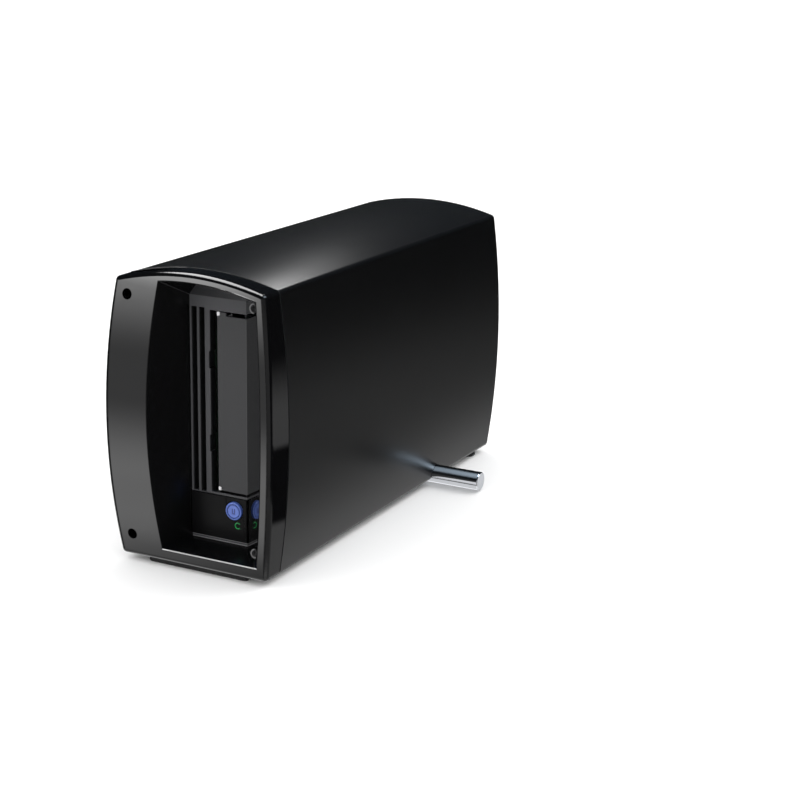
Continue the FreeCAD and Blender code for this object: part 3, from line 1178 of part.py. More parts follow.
def supply_parts():
    """Heat sinks, transformer, choke and capacitors of the power supply, standing on its board."""
    foot = WEB_X - SHEET - SUPPLY_GAP - BOARD
    y0 = FACE_Y + SUPPLY_START
    z0 = BASE + SUPPLY_LOW
    parts = []
    for share in SINK_SHARES:
        y = y0 + SUPPLY_LENGTH * share
        low = z0 + SINK_MARGIN
        sink = block((foot - SINK_REACH, foot), (y - SINK_THICK / 2, y + SINK_THICK / 2),
                     (low, z0 + SUPPLY_HEIGHT - SINK_MARGIN))
        fins = []
        for index in range(FIN_COUNT):
            fin_low = low + index * FIN_PITCH
            fins.append(block((foot - SINK_REACH, foot - SINK_REACH + FIN_THICK),
                              (y - FIN_WIDTH / 2, y + FIN_WIDTH / 2), (fin_low, fin_low + FIN_HEIGHT)))
        parts.append(joined([sink] + fins))
    core_y = y0 + SUPPLY_LENGTH * CORE_SHARES[0]
    core_z = z0 + SUPPLY_HEIGHT * CORE_SHARES[1]
    reach, length, height = CORE_SIZE
    core = block((foot - reach, foot), (core_y - length / 2, core_y + length / 2),
                 (core_z - height / 2, core_z + height / 2))
    parts.append(rounded(core, length / 13, runs_along(ALONG_X)))
    for share_y, share_z, radius in CAPACITORS:
        place = V(foot, y0 + SUPPLY_LENGTH * share_y, z0 + SUPPLY_HEIGHT * share_z)
        parts.append(round_bar(-ALONG_X, radius, place, CAPACITOR_LENGTH))
    return Part.makeCompound(parts)


def rear_panel():
    """Plate across the back: slotted fan grille and openings for the inlet, switch, ports and lock."""
    panel = barrel(SHELL_WALL + SLIP, PANEL_BACK, PANEL_Y)
    deep = REAR_PANEL_THICK + 2
    y = PANEL_BACK - 1
    cuts = []
    for x, z in REAR_SCREWS + arm_screws_at():
        cuts.append(round_bar(ALONG_Y, SCREW_RADIUS, V(x, y, z), deep))
    for x, z in fan_screws_at():
        cuts.append(round_bar(ALONG_Y, SCREW_RADIUS, V(x, y, z), deep))
    for index in range(GRILLE_RINGS):
        radius = GRILLE_INNER + index * GRILLE_PITCH
        slot = ring(ALONG_Y, radius + GRILLE_SLOT / 2, radius - GRILLE_SLOT / 2, V(0, y, FAN_MID), deep)
        spoke = GRILLE_SPOKE * GRILLE_INNER / radius + 4
        spokes = []
        for quarter in range(4):
            half = math.radians(spoke / 2)
            reach = 2 * FAN_SIZE
            wedge = Part.makePolygon([
                V(0, y, FAN_MID),
                V(reach * math.cos(half), y, FAN_MID + reach * math.sin(half)),
                V(reach * math.cos(half), y, FAN_MID - reach * math.sin(half)),
                V(0, y, FAN_MID),
            ])
            spoke_solid = Part.Face(wedge).extrude(V(0, deep, 0))
            spokes.append(spoke_solid.rotated(V(0, 0, FAN_MID), ALONG_Y, 45.0 + quarter * 90.0))
        cuts.append(slot.cut(spokes))
    cuts.append(inlet_body(SLIP / 2))
    cuts.append(switch_body(SLIP / 2))
    for x in PORT_X:
        cuts.append(block((x - PORT_WIDTH / 2 - SLIP, x + PORT_WIDTH / 2 + SLIP), (y, y + deep),
                          (BASE + PORT_Z - PORT_HEIGHT / 2 - SLIP, BASE + PORT_Z + PORT_HEIGHT / 2 + SLIP)))
    lock = block((LOCK_X - LOCK_LENGTH / 2, LOCK_X + LOCK_LENGTH / 2), (y, y + deep),
                 (BASE + LOCK_Z - LOCK_HEIGHT / 2, BASE + LOCK_Z + LOCK_HEIGHT / 2))
    cuts.append(rounded(lock, LOCK_HEIGHT / 3, runs_along(ALONG_Y)))
    for x, z in inlet_screws_at():
        cuts.append(round_bar(ALONG_Y, SCREW_RADIUS, V(x, y, z), deep))
    return panel.cut(cuts)


def rear_panel_screws():
    """Screws of the rear panel: four into the sleeve's lugs and two into the chassis arm."""
    long_shank = REAR_PANEL_THICK + LUG_LENGTH - 2
    screws = [screw_y(x, z, PANEL_Y, long_shank, -1) for x, z in REAR_SCREWS]
    screws += [screw_y(x, z, PANEL_Y, REAR_PANEL_THICK + SHEET + 2, -1) for x, z in arm_screws_at()]
    return Part.makeCompound(screws)


def fan_screws_at():
    """Places of the fan's four screws."""
    half = FAN_SIZE / 2 - FAN_SCREW_INSET
    return [(x, FAN_MID + z) for x in (-half, half) for z in (-half, half)]


def fan_screws():
    """Four screws through the rear panel into the fan's corners."""
    shank = REAR_PANEL_THICK + FAN_SCREW_BITE
    return Part.makeCompound([screw_y(x, z, PANEL_Y, shank, -1) for x, z in fan_screws_at()])


def fan_frame():
    """Square housing of the fan with its round duct, motor seat and four struts."""
    front = PANEL_BACK - FAN_THICK
    half = FAN_SIZE / 2
    frame = block((-half, half), (front, PANEL_BACK), (FAN_MID - half, FAN_MID + half))
    frame = rounded(frame, FAN_CORNER, runs_along(ALONG_Y))
    duct = round_bar(ALONG_Y, FAN_BORE, V(0, front - 1, FAN_MID), FAN_THICK + 2)
    waist = ring(ALONG_Y, 2 * FAN_SIZE, FAN_BORE + FAN_WAIST, V(0, front + FAN_FLANGE, FAN_MID),
                 FAN_THICK - 2 * FAN_FLANGE)
    frame = frame.cut([duct, waist])
    seat = round_bar(ALONG_Y, FAN_HUB + 1, V(0, PANEL_BACK - FAN_SEAT, FAN_MID), FAN_SEAT)
    strut = block((-FAN_STRUT / 2, FAN_STRUT / 2), (PANEL_BACK - FAN_SEAT, PANEL_BACK),
                  (FAN_MID + FAN_HUB - 1, FAN_MID + FAN_BORE + 1))
    struts = [strut.rotated(V(0, 0, FAN_MID), ALONG_Y, 45.0 + quarter * 90.0) for quarter in range(4)]
    sleeve = round_bar(ALONG_Y, FAN_CORNER, V(0, PANEL_BACK - FAN_THICK / 2, FAN_MID), FAN_THICK / 2 - 1)
    frame = joined([frame, seat, sleeve] + struts)
    tap = FAN_SCREW_BITE + 2
    cuts = [round_bar(ALONG_Y, SCREW_RADIUS, V(x, PANEL_BACK - tap, z), tap + 1) for x, z in fan_screws_at()]
    cuts.append(round_bar(ALONG_Y, POST_RADIUS + PIN_FIT, V(0, front, FAN_MID), FAN_THICK - 1))
    return frame.cut(cuts)


def fan_blade():
    """One twisted blade between the hub's wall and the tip circle."""
    front = PANEL_BACK - FAN_THICK + 2 * FAN_FRONT_GAP
    depth = PANEL_BACK - FAN_REAR_GAP - front

    def section(radius, sweep):
        half = radius * math.sin(math.radians(sweep / 2))
        bow = half * BLADE_BOW
        z = FAN_MID + radius
        leading = V(-half, front, z)
        trailing = V(half, front + depth, z)
        thick = V(BLADE_THICK, 0, 0)
        middle = (leading + trailing) / 2 + V(bow, 0, 0)
        return Part.Wire([
            Part.Arc(leading, middle, trailing).toShape(),
            Part.makeLine(trailing, trailing + thick),
            Part.Arc(trailing + thick, middle + thick, leading + thick).toShape(),
            Part.makeLine(leading + thick, leading),
        ])

    blank = Part.makeLoft([section(FAN_HUB * 0.8, 50.0), section(FAN_BORE, 30.0)], True, True)
    swept_from = V(0, front - 1, FAN_MID)
    swept = ring(ALONG_Y, FAN_BORE - FAN_TIP_GAP, FAN_HUB - FAN_CUP_WALL / 2, swept_from, depth + 2)
    return blank.common(swept)


def fan_rotor():
    """Hub cup with its shaft and twisted blades."""
    front = PANEL_BACK - FAN_THICK + FAN_FRONT_GAP
    length = FAN_THICK - FAN_REAR_GAP
    cup = round_bar(ALONG_Y, FAN_HUB, V(0, front, FAN_MID), length)
    cup = cup.makeChamfer(FAN_CUP_WALL / 2, [edge for edge in cup.Edges if edge.BoundBox.YMax < front + 0.1])
    hollow = round_bar(ALONG_Y, FAN_HUB - FAN_CUP_WALL, V(0, front + FAN_CUP_WALL, FAN_MID), FAN_THICK)
    shaft = round_bar(ALONG_Y, POST_RADIUS, V(0, front + FAN_CUP_WALL / 2, FAN_MID), length)
    blade = fan_blade()
    turn = 360.0 / FAN_BLADES
    blades = [blade.rotated(V(0, 0, FAN_MID), ALONG_Y, index * turn) for index in range(FAN_BLADES)]
    return joined([cup.cut(hollow), shaft] + blades)


def inlet_screws_at():
    """Places of the two screws of the mains inlet."""
    half = INLET_SCREW_SPACING / 2
    return [(INLET_X - half, BASE + INLET_Z), (INLET_X + half, BASE + INLET_Z)]


def inlet_body(grow):
    """Outline of the mains inlet behind its flange, grown for the opening in the panel."""
    half_width = SOCKET_WIDTH / 2 + INLET_WALL + grow
    half_height = SOCKET_HEIGHT / 2 + INLET_WALL + grow
    z = BASE + INLET_Z
    body = block((INLET_X - half_width, INLET_X + half_width),
                 (PANEL_BACK - SOCKET_DEPTH - INLET_WALL, PANEL_Y),
                 (z - half_height, z + half_height))
    return rounded(body, INLET_CORNER, runs_along(ALONG_Y))


def power_inlet():
    """Mains inlet: screwed flange and a socket with two cut corners."""
    z = BASE + INLET_Z
    face = PANEL_Y + INLET_FLANGE_THICK
    flange = block((INLET_X - INLET_FLANGE_WIDTH / 2, INLET_X + INLET_FLANGE_WIDTH / 2), (PANEL_Y, face),
                   (z - INLET_FLANGE_HEIGHT / 2, z + INLET_FLANGE_HEIGHT / 2))
    flange = rounded(flange, INLET_FLANGE_CORNER, runs_along(ALONG_Y))
    socket = block((INLET_X - SOCKET_WIDTH / 2, INLET_X + SOCKET_WIDTH / 2), (face - SOCKET_DEPTH, face + 1),
                   (z - SOCKET_HEIGHT / 2, z + SOCKET_HEIGHT / 2))
    corner = [edge for edge in socket.Edges if runs_along(ALONG_Y)(edge) and edge.BoundBox.ZMin > z]
    socket = socket.makeChamfer(SOCKET_CORNER, corner)
    holes = [round_bar(ALONG_Y, SCREW_RADIUS, V(x, PANEL_Y - 1, sz), INLET_FLANGE_THICK + 2)
             for x, sz in inlet_screws_at()]
    return joined([flange, inlet_body(0)]).cut([socket] + holes)


def inlet_pins():
    """Three flat contacts of the mains inlet."""
    mouth = PANEL_Y + INLET_FLANGE_THICK
    contacts = []
    for across, up in CONTACTS:
        x = INLET_X + across
        z = BASE + INLET_Z + up
        contacts.append(block((x - CONTACT_WIDTH / 2, x + CONTACT_WIDTH / 2),
                              (mouth - SOCKET_DEPTH, mouth - CONTACT_DROP),
                              (z - CONTACT_HEIGHT / 2, z + CONTACT_HEIGHT / 2)))
    return Part.makeCompound(contacts)


def inlet_screws():
    """Two screws of the mains inlet, with their nuts behind the panel."""
    screws = []
    for x, z in inlet_screws_at():
        shank = INLET_FLANGE_THICK + REAR_PANEL_THICK + INLET_NUT + 1.5
        screw = screw_y(x, z, PANEL_Y + INLET_FLANGE_THICK, shank, -1)
        nut = ring(ALONG_Y, NUT_RADIUS, SCREW_RADIUS, V(x, PANEL_BACK - INLET_NUT, z), INLET_NUT)
        screws.append(joined([screw, nut]))
    return Part.makeCompound(screws)


def switch_body(grow):
    """Outline of the switch's housing behind its rim, grown for the opening in the panel."""
    half_width = ROCKER_WIDTH / 2 + SWITCH_WALL + grow
    half_height = ROCKER_HEIGHT / 2 + SWITCH_WALL + grow
    z = BASE + ROCKER_Z
    return block((ROCKER_X - half_width, ROCKER_X + half_width), (PANEL_BACK - SWITCH_DEPTH, PANEL_Y),
                 (z - half_height, z + half_height))


def rocker_pivot():
    """Point on the rocker's axis."""
    return V(ROCKER_X, PANEL_Y - ROCKER_DEPTH, BASE + ROCKER_Z)


def switch_frame():
    """Housing of the power switch, open to the rear for its rocker."""
    z = BASE + ROCKER_Z

    def around_rocker(side, end, y):
        half_width = ROCKER_WIDTH / 2 + side
        half_height = ROCKER_HEIGHT / 2 + end
        return block((ROCKER_X - half_width, ROCKER_X + half_width), y, (z - half_height, z + half_height))

    rim = around_rocker(SWITCH_RIM, SWITCH_RIM, (PANEL_Y, PANEL_Y + SWITCH_RIM_THICK))
    rim = rounded(rim, 0.4 * SWITCH_RIM, runs_along(ALONG_Y))
    well_y = (PANEL_BACK - SWITCH_DEPTH + SWITCH_WALL, PANEL_Y + SWITCH_RIM_THICK + 1)
    well = around_rocker(ROCKER_SIDE_GAP, ROCKER_END_GAP, well_y)
    pivot = rocker_pivot()
    hole_length = ROCKER_WIDTH + 2 * (SWITCH_WALL - ROCKER_SIDE_GAP * 2)
    hole_start = V(pivot.x - hole_length / 2, pivot.y, pivot.z)
    pin_hole = round_bar(ALONG_X, ROCKER_PIN + PIN_FIT, hole_start, hole_length)
    return joined([rim, switch_body(0)]).cut([well, pin_hole])


def power_rocker():
    """Rocker of the power switch, at rest with its lower half pressed in."""
    pivot = rocker_pivot()
    half = ROCKER_HEIGHT / 2
    x0 = ROCKER_X - ROCKER_WIDTH / 2
    rear = pivot.y + ROCKER_PROUD
    front = pivot.y - ROCKER_DEPTH
    low_rear = V(x0, rear, pivot.z - half)
    high_rear = V(x0, rear, pivot.z + half)
    low_front = V(x0, front, pivot.z - half * ROCKER_TAPER)
    high_front = V(x0, front, pivot.z + half * ROCKER_TAPER)
    outline = Part.Wire([
        Part.makeLine(low_front, low_rear),
        Part.Arc(low_rear, V(x0, rear - ROCKER_DISH, pivot.z), high_rear).toShape(),
        Part.makeLine(high_rear, high_front),
        Part.makeLine(high_front, low_front),
    ])
    paddle = Part.Face(outline).extrude(V(ROCKER_WIDTH, 0, 0))
    pin_reach = SWITCH_WALL - ROCKER_END_GAP
    pins = round_bar(ALONG_X, ROCKER_PIN, V(x0 - pin_reach, pivot.y, pivot.z), ROCKER_WIDTH + 2 * pin_reach)
    return joined([paddle, pins]).rotated(pivot, ALONG_X, ROCKER_SWING / 2)


def interface_board():
    """Board behind the two data ports, with its chips."""
    face = BASE + PORT_Z - PORT_HEIGHT / 2
    reach = PORT_WIDTH / 2 + PORT_BOARD_MARGIN
    rear = PANEL_BACK - SHEET - PIN_FIT
    front = rear - PORT_BOARD_LENGTH
    board = block((PORT_X[0] - reach, PORT_X[1] + reach), (front, rear), (face - BOARD, face))
    chips = []
    for x in PORT_X:
        chip_y = (front + PORT_BOARD_MARGIN, front + 3 * PORT_BOARD_MARGIN)
        chips.append(block((x - PORT_BOARD_MARGIN, x + PORT_BOARD_MARGIN), chip_y, (face, face + CHIP_THICK)))
    return Part.makeCompound([board] + chips)


def board_brackets():
    """Two folded angles that hang the interface board from the rear panel."""
    under = BASE + PORT_Z - PORT_HEIGHT / 2 - BOARD
    angles = []
    for x in (PORT_X[0] - PORT_WIDTH / 2, PORT_X[1] + PORT_WIDTH / 2):
        across = (x - BRACKET_WIDTH / 2, x + BRACKET_WIDTH / 2)
        shelf = block(across, (PANEL_BACK - BRACKET_LENGTH, PANEL_BACK), (under - SHEET, under))
        upright = block(across, (PANEL_BACK - SHEET, PANEL_BACK), (under - BRACKET_HEIGHT, under))
        angles.append(joined([shelf, upright]))
    return Part.makeCompound(angles)


def data_ports():
    """Two shielded ports through the rear panel, each a cage round a contact tongue."""
    ports = []
    low = BASE + PORT_Z - PORT_HEIGHT / 2
    rear = PANEL_Y + PORT_PROUD
    for x in PORT_X:
        cage = block((x - PORT_WIDTH / 2, x + PORT_WIDTH / 2), (rear - PORT_LENGTH, rear),
                     (low, low + PORT_HEIGHT))
        cage = rounded(cage, PORT_CORNER, runs_along(ALONG_Y))
        inner = PORT_WIDTH / 2 - PORT_SHEET
        hollow_front = rear - 0.8 * PORT_LENGTH
        hollow = block((x - inner, x + inner), (hollow_front, rear + 1),
                       (low + PORT_SHEET, low + PORT_HEIGHT - PORT_SHEET))
        reach = PORT_WIDTH / 2 - TONGUE_INSET
        tongue = block((x - reach, x + reach), (hollow_front - 1, rear - 3 * PORT_PROUD),
                       (low + PORT_HEIGHT / 2 - PORT_SHEET, low + PORT_HEIGHT / 2 + PORT_SHEET))
        ports.append(joined([cage.cut(hollow), tongue]))
    return Part.makeCompound(ports)


def sub_parts():
    """Every sub-part by its name."""
    shapes = {
        "outer_shell": outer_shell(),
        "front_bezel": front_bezel(),
        "bezel_screws": bezel_screws(),
        "front_foot": front_foot(),
        "rear_feet": rear_feet(),
        "stabilizer_rod": stabilizer_rod(),
        "rod_clamps": rod_clamps(),
        "rod_clamp_screws": rod_clamp_screws(),
        "inner_chassis": inner_chassis(),
        "drive_screws": drive_screws(),
        "drive_base": drive_base(),
        "drive_cover": drive_cover(),
        "drive_faceplate": drive_faceplate(),
        "control_panel": control_panel(),
        "status_light": status_light(),
        "control_board": control_board(),
        "eject_button": eject_button(),
        "door_pin": door_pin(),
        "door_spring": door_spring(),
        "cartridge_door": cartridge_door(),
        "door_bushes": door_bushes(),
        "deck_plate": deck_plate(),
        "clutch_motor": motor(CLUTCH_AT),
        "takeup_motor": motor(REEL_AT),
        "reel_clutch": reel_clutch(),
        "takeup_reel": takeup_reel(),
        "roller_posts": roller_posts(),
        "head_guides": head_guides(),
        "tape_head": tape_head(),
        "cartridge_carrier": cartridge_carrier(),
        "drive_board": drive_board(),
        "drive_connectors": drive_connectors(),
        "supply_board": supply_board(),
        "supply_parts": supply_parts(),
        "rear_panel": rear_panel(),
        "rear_panel_screws": rear_panel_screws(),
        "fan_frame": fan_frame(),
        "fan_rotor": fan_rotor(),
        "fan_screws": fan_screws(),
        "power_inlet": power_inlet(),
        "inlet_pins": inlet_pins(),
        "inlet_screws": inlet_screws(),
        "switch_frame": switch_frame(),
        "power_rocker": power_rocker(),
        "interface_board": interface_board(),
        "board_brackets": board_brackets(),
        "data_ports": data_ports(),
    }
    for index, at in enumerate(ROLLERS_AT, start=1):
        shapes["guide_roller_%d" % index] = guide_roller(at)
    return shapes


os.makedirs("parts", exist_ok=True)
for name, shape in sub_parts().items():
    shape.exportStep("parts/%s.step" % name)
    sizes = shape.BoundBox
    print("%-18s %d solids, valid %s, %.1f x %.1f x %.1f mm" % (
        name, len(shape.Solids), shape.isValid(), sizes.XLength, sizes.YLength, sizes.ZLength))
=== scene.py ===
"""Dressed model of a desktop tape drive that stands on its edge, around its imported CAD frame.

Lengths are in millimetres where no line says metres, along the frame's own axes: X to the right of the
front, Y from the front to the back, and Z up from the surface that the feet stand on. MM turns them into
the metres of the frame.
"""

import logging
import math
from dataclasses import dataclass
from enum import Enum
from typing import Any, Callable, Sequence

import bmesh
import bpy
from mathutils import Matrix, Vector


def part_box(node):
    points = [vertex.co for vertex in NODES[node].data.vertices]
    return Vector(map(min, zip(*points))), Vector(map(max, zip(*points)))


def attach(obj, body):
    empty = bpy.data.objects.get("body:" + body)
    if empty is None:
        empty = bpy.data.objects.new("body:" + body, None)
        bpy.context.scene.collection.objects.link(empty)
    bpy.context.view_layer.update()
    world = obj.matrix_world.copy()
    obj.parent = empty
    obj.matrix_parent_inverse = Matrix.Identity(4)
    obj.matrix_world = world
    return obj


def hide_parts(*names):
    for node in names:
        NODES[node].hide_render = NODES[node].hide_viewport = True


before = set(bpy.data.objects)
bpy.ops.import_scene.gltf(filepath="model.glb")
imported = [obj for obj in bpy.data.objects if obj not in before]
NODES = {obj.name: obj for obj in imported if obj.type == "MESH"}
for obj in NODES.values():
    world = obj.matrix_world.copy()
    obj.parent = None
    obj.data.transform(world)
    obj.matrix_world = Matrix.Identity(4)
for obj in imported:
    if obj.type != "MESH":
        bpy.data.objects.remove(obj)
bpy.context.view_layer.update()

LOG = logging.getLogger("tape_drive")
MM = 0.001


def span(node: str) -> tuple[Vector, Vector]:
    """Lowest and highest corner of a node, in millimetres."""
    low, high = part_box(node)
    return low / MM, high / MM


class Direction(Enum):
    """Unit vectors along the frame's axes."""

    ACROSS = (1.0, 0.0, 0.0)
    DEEP = (0.0, 1.0, 0.0)
    UP = (0.0, 0.0, 1.0)

    @property
    def vector(self) -> Vector:
        """The direction as a vector."""
        return Vector(self.value)


class Channel:
    """One output socket of a shader tree, with arithmetic written as Python expressions."""

    def __init__(self, tree: "ShaderTree", socket: bpy.types.NodeSocket) -> None:
        """Keep the tree, which adds the nodes, and the socket."""
        self.tree = tree
        self.socket = socket

    def _maths(self, operation: str, *values: Any) -> "Channel":
        """Result of a Math node.

        Args:
            operation: The Math node's operation.
            *values: Its inputs, as channels or numbers.

        Returns:
            The node's output.
        """
        return self.tree.node("ShaderNodeMath", {"operation": operation}, dict(enumerate(values)))

    def __add__(self, other: Any) -> "Channel":
        """Sum."""
        return self._maths("ADD", self, other)

    def __radd__(self, other: Any) -> "Channel":
        """Sum with a number first."""
        return self._maths("ADD", other, self)

    def __sub__(self, other: Any) -> "Channel":
        """Difference."""
        return self._maths("SUBTRACT", self, other)

    def __rsub__(self, other: Any) -> "Channel":
        """Difference from a number."""
        return self._maths("SUBTRACT", other, self)

    def __mul__(self, other: Any) -> "Channel":
        """Product."""
        return self._maths("MULTIPLY", self, other)

    def __rmul__(self, other: Any) -> "Channel":
        """Product with a number first."""
        return self._maths("MULTIPLY", other, self)

    def __gt__(self, other: Any) -> "Channel":
        """One where this is greater, and nought elsewhere."""
        return self._maths("GREATER_THAN", self, other)

    def __lt__(self, other: Any) -> "Channel":
        """One where this is less, and nought elsewhere."""
        return self._maths("LESS_THAN", self, other)

    def sine(self) -> "Channel":
        """Sine of an angle in radians."""
        return self._maths("SINE", self)

    def clamped(self) -> "Channel":
        """Value held between nought and one."""
        return self._maths("MINIMUM", self._maths("MAXIMUM", self, 0.0), 1.0)


class ShaderTree:
    """Node tree of one material, built by expressions."""

    def __init__(self, owner: bpy.types.Material) -> None:
        """Empty the tree of a material."""
        owner.use_nodes = True
        self.tree = owner.node_tree
        self.tree.nodes.clear()

    def node(self, kind: str, settings: dict[str, Any] | None = None, inputs: dict[Any, Any] | None = None,
             output: Any = 0) -> Channel:
        """Add a node.

        Args:
            kind: The node's type.
            settings: Its properties.
            inputs: Values or channels for its sockets, by name or number.
            output: The name or number of the output that is wanted.

        Returns:
            That output.
        """
        made = self.tree.nodes.new(kind)
        for name, value in (settings or {}).items():
            setattr(made, name, value)
        for key, value in (inputs or {}).items():
            if isinstance(value, Channel):
                self.tree.links.new(value.socket, made.inputs[key])
            else:
                made.inputs[key].default_value = value
        return Channel(self, made.outputs[output])

    def millimetres(self) -> Channel:
        """Position on the piece in millimetres."""
        place = self.node("ShaderNodeTexCoord", output="Object")
        return self.node("ShaderNodeVectorMath", {"operation": "SCALE"}, {0: place, "Scale": 1.0 / MM})

    def axis(self, place: Channel, name: str) -> Channel:
        """One component, X, Y or Z, of a vector."""
        return self.node("ShaderNodeSeparateXYZ", inputs={0: place}, output=name)

    def stretched(self, place: Channel, shares: Sequence[float]) -> Channel:
        """A vector with each component scaled by its own share."""
        return self.node("ShaderNodeVectorMath", {"operation": "MULTIPLY"}, {0: place, 1: tuple(shares)})

    def noise(self, place: Channel, per_mm: float, detail: float = 2.0, roughness: float = 0.5) -> Channel:
        """Noise from nought to one.

        Args:
            place: Position in millimetres.
            per_mm: Features in a millimetre.
            detail: Octaves of finer noise.
            roughness: Share of each octave in the next.

        Returns:
            The noise's value.
        """
        values = {"Vector": place, "Scale": per_mm, "Detail": detail, "Roughness": roughness}
        return self.node("ShaderNodeTexNoise", inputs=values)

    def cells(self, place: Channel, per_mm: float, output: str = "Distance") -> Channel:
        """Distance to the nearest point of a cell pattern, or its cells' colours."""
        return self.node("ShaderNodeTexVoronoi", inputs={"Vector": place, "Scale": per_mm}, output=output)

    def mixed(self, share: Any, first: Any, second: Any) -> Channel:
        """Colour between two colours.

        Args:
            share: Nought gives the first and one the second.
            first: Colour as a channel or as red, green and blue.
            second: The other colour.

        Returns:
            The mixed colour.
        """
        ends = [value if isinstance(value, Channel) else (*value, 1.0) for value in (first, second)]
        return self.node("ShaderNodeMix", {"data_type": "RGBA"}, {0: share, 6: ends[0], 7: ends[1]}, output=2)

    def bump(self, height: Channel, depth: float) -> Channel:
        """Normal tilted by a height.

        Args:
            height: Height from nought to one.
            depth: Depth of one unit of height, in metres.

        Returns:
            The normal.
        """
        return self.node("ShaderNodeBump", inputs={"Height": height, "Distance": depth, "Strength": 1.0})

    def ramp(self, value: Channel, at: float, soft: float) -> Channel:
        """Smooth step from nought to one, centred on a value; a negative width steps down."""
        ends = {"Value": value, "From Min": at - soft / 2, "From Max": at + soft / 2}
        return self.node("ShaderNodeMapRange", {"interpolation_type": "SMOOTHSTEP"}, ends)

    def between(self, value: Channel, ends: Sequence[float], soft: Sequence[float]) -> Channel:
        """One where a value lies between two ends, and nought outside, with soft edges.

        Args:
            value: The value.
            ends: The lowest and highest that are inside.
            soft: Widths of the soft edges at the lowest and at the highest.

        Returns:
            The share.
        """
        return self.ramp(value, ends[0], soft[0]) * self.ramp(value, ends[1], -soft[1])

    def facing(self) -> Channel:
        """Direction that the surface faces, along the object's axes."""
        return self.node("ShaderNodeTexCoord", output="Normal")

    def surface(self, **sockets: Any) -> None:
        """End the tree in a Principled shader.

        Args:
            **sockets: Values or channels by the socket's name, with underscores for spaces.
        """
        named = {name.replace("_", " "): value for name, value in sockets.items()}
        shader = self.node("ShaderNodeBsdfPrincipled", inputs=named)
        end = self.tree.nodes.new("ShaderNodeOutputMaterial")
        self.tree.links.new(shader.socket, end.inputs["Surface"])


@dataclass(frozen=True)
class Finish:
    """A surface finish that many pieces may share.

    Attributes:
        name: The finish's name, which its material carries.
        colour: Red, green and blue of the surface, linear.
        roughness: Mean roughness.
    """

    name: str
    colour: tuple[float, float, float]
    roughness: float

    def material(self) -> bpy.types.Material:
        """The finish's material, made the first time."""
        found = bpy.data.materials.get(self.name)
        if found is None:
            found = bpy.data.materials.new(self.name)
            self.build(ShaderTree(found))
        return found

    def build(self, tree: ShaderTree) -> None:
        """Fill the material's tree."""
        raise NotImplementedError

    def tinted(self, share: float) -> tuple[float, float, float]:
        """The colour made darker or lighter by a share."""
        return tuple(min(1.0, value * share) for value in self.colour)

    def toned(self, tree: ShaderTree, share: Channel, tones: tuple[float, float]) -> Channel:
        """The colour between two shares of itself, as another share goes from nought to one."""
        return tree.mixed(share, self.tinted(tones[0]), self.tinted(tones[1]))


@dataclass(frozen=True)
class Moulded(Finish):
    """Moulded plastic with a spark-eroded grain.

    Attributes:
        grain: Grains in a millimetre.
        depth: Depth of the grain, in millimetres.
        sheen_drift: How far the roughness wanders.
        specular: Specular level of the shader.
        tones: Shares of the colour in the pits and on the peaks of the grain.
        patches: Patches of wandering roughness in a millimetre.
        grain_sheen: How far the grain changes the roughness.
    """

    grain: float = 2.6
    depth: float = 0.012
    sheen_drift: float = 0.08
    specular: float = 0.5
    tones: tuple[float, float] = (0.86, 1.14)
    patches: float = 0.02
    grain_sheen: float = 0.06

    def build(self, tree: ShaderTree) -> None:
        """Fill the material's tree."""
        place = tree.millimetres()
        fine = tree.noise(place, self.grain, detail=3.0)
        broad = tree.noise(place, self.patches)
        shade = self.shade(tree, place, self.toned(tree, fine, self.tones))
        rough = self.roughness + (broad - 0.5) * self.sheen_drift + (fine - 0.5) * self.grain_sheen
        tree.surface(Base_Color=shade, Roughness=rough, Normal=tree.bump(fine, self.depth * MM),
                     Specular_IOR_Level=self.specular)

    def shade(self, tree: ShaderTree, place: Channel, grained: Channel) -> Channel:
        """Colour of the surface, given its place in millimetres and its grained colour."""
        return grained


@dataclass(frozen=True)
class RecessShaded(Moulded):
    """Moulded face with painted shade: its slots and recesses are coloured darker with depth.

    Attributes:
        open_at: Place along Y of the open face, in millimetres.
        shallow: Depth to which the face keeps its colour.
        deep: Depth at which the recesses are darkest.
        dark: Share of the colour that is left there, where the painted shade is darkest.
    """

    open_at: float = 0.0
    shallow: float = 0.28
    deep: float = 1.4
    dark: float = 0.1

    def shade(self, tree: ShaderTree, place: Channel, grained: Channel) -> Channel:
        """Colour of the surface, given its place in millimetres and its grained colour."""
        middle = self.open_at + (self.shallow + self.deep) / 2
        # Painted shade: the colour darkens with depth behind the open face.
        painted_recess_shade = tree.ramp(tree.axis(place, "Y"), middle, self.deep - self.shallow)
        return tree.mixed(painted_recess_shade, grained, self.tinted(self.dark))


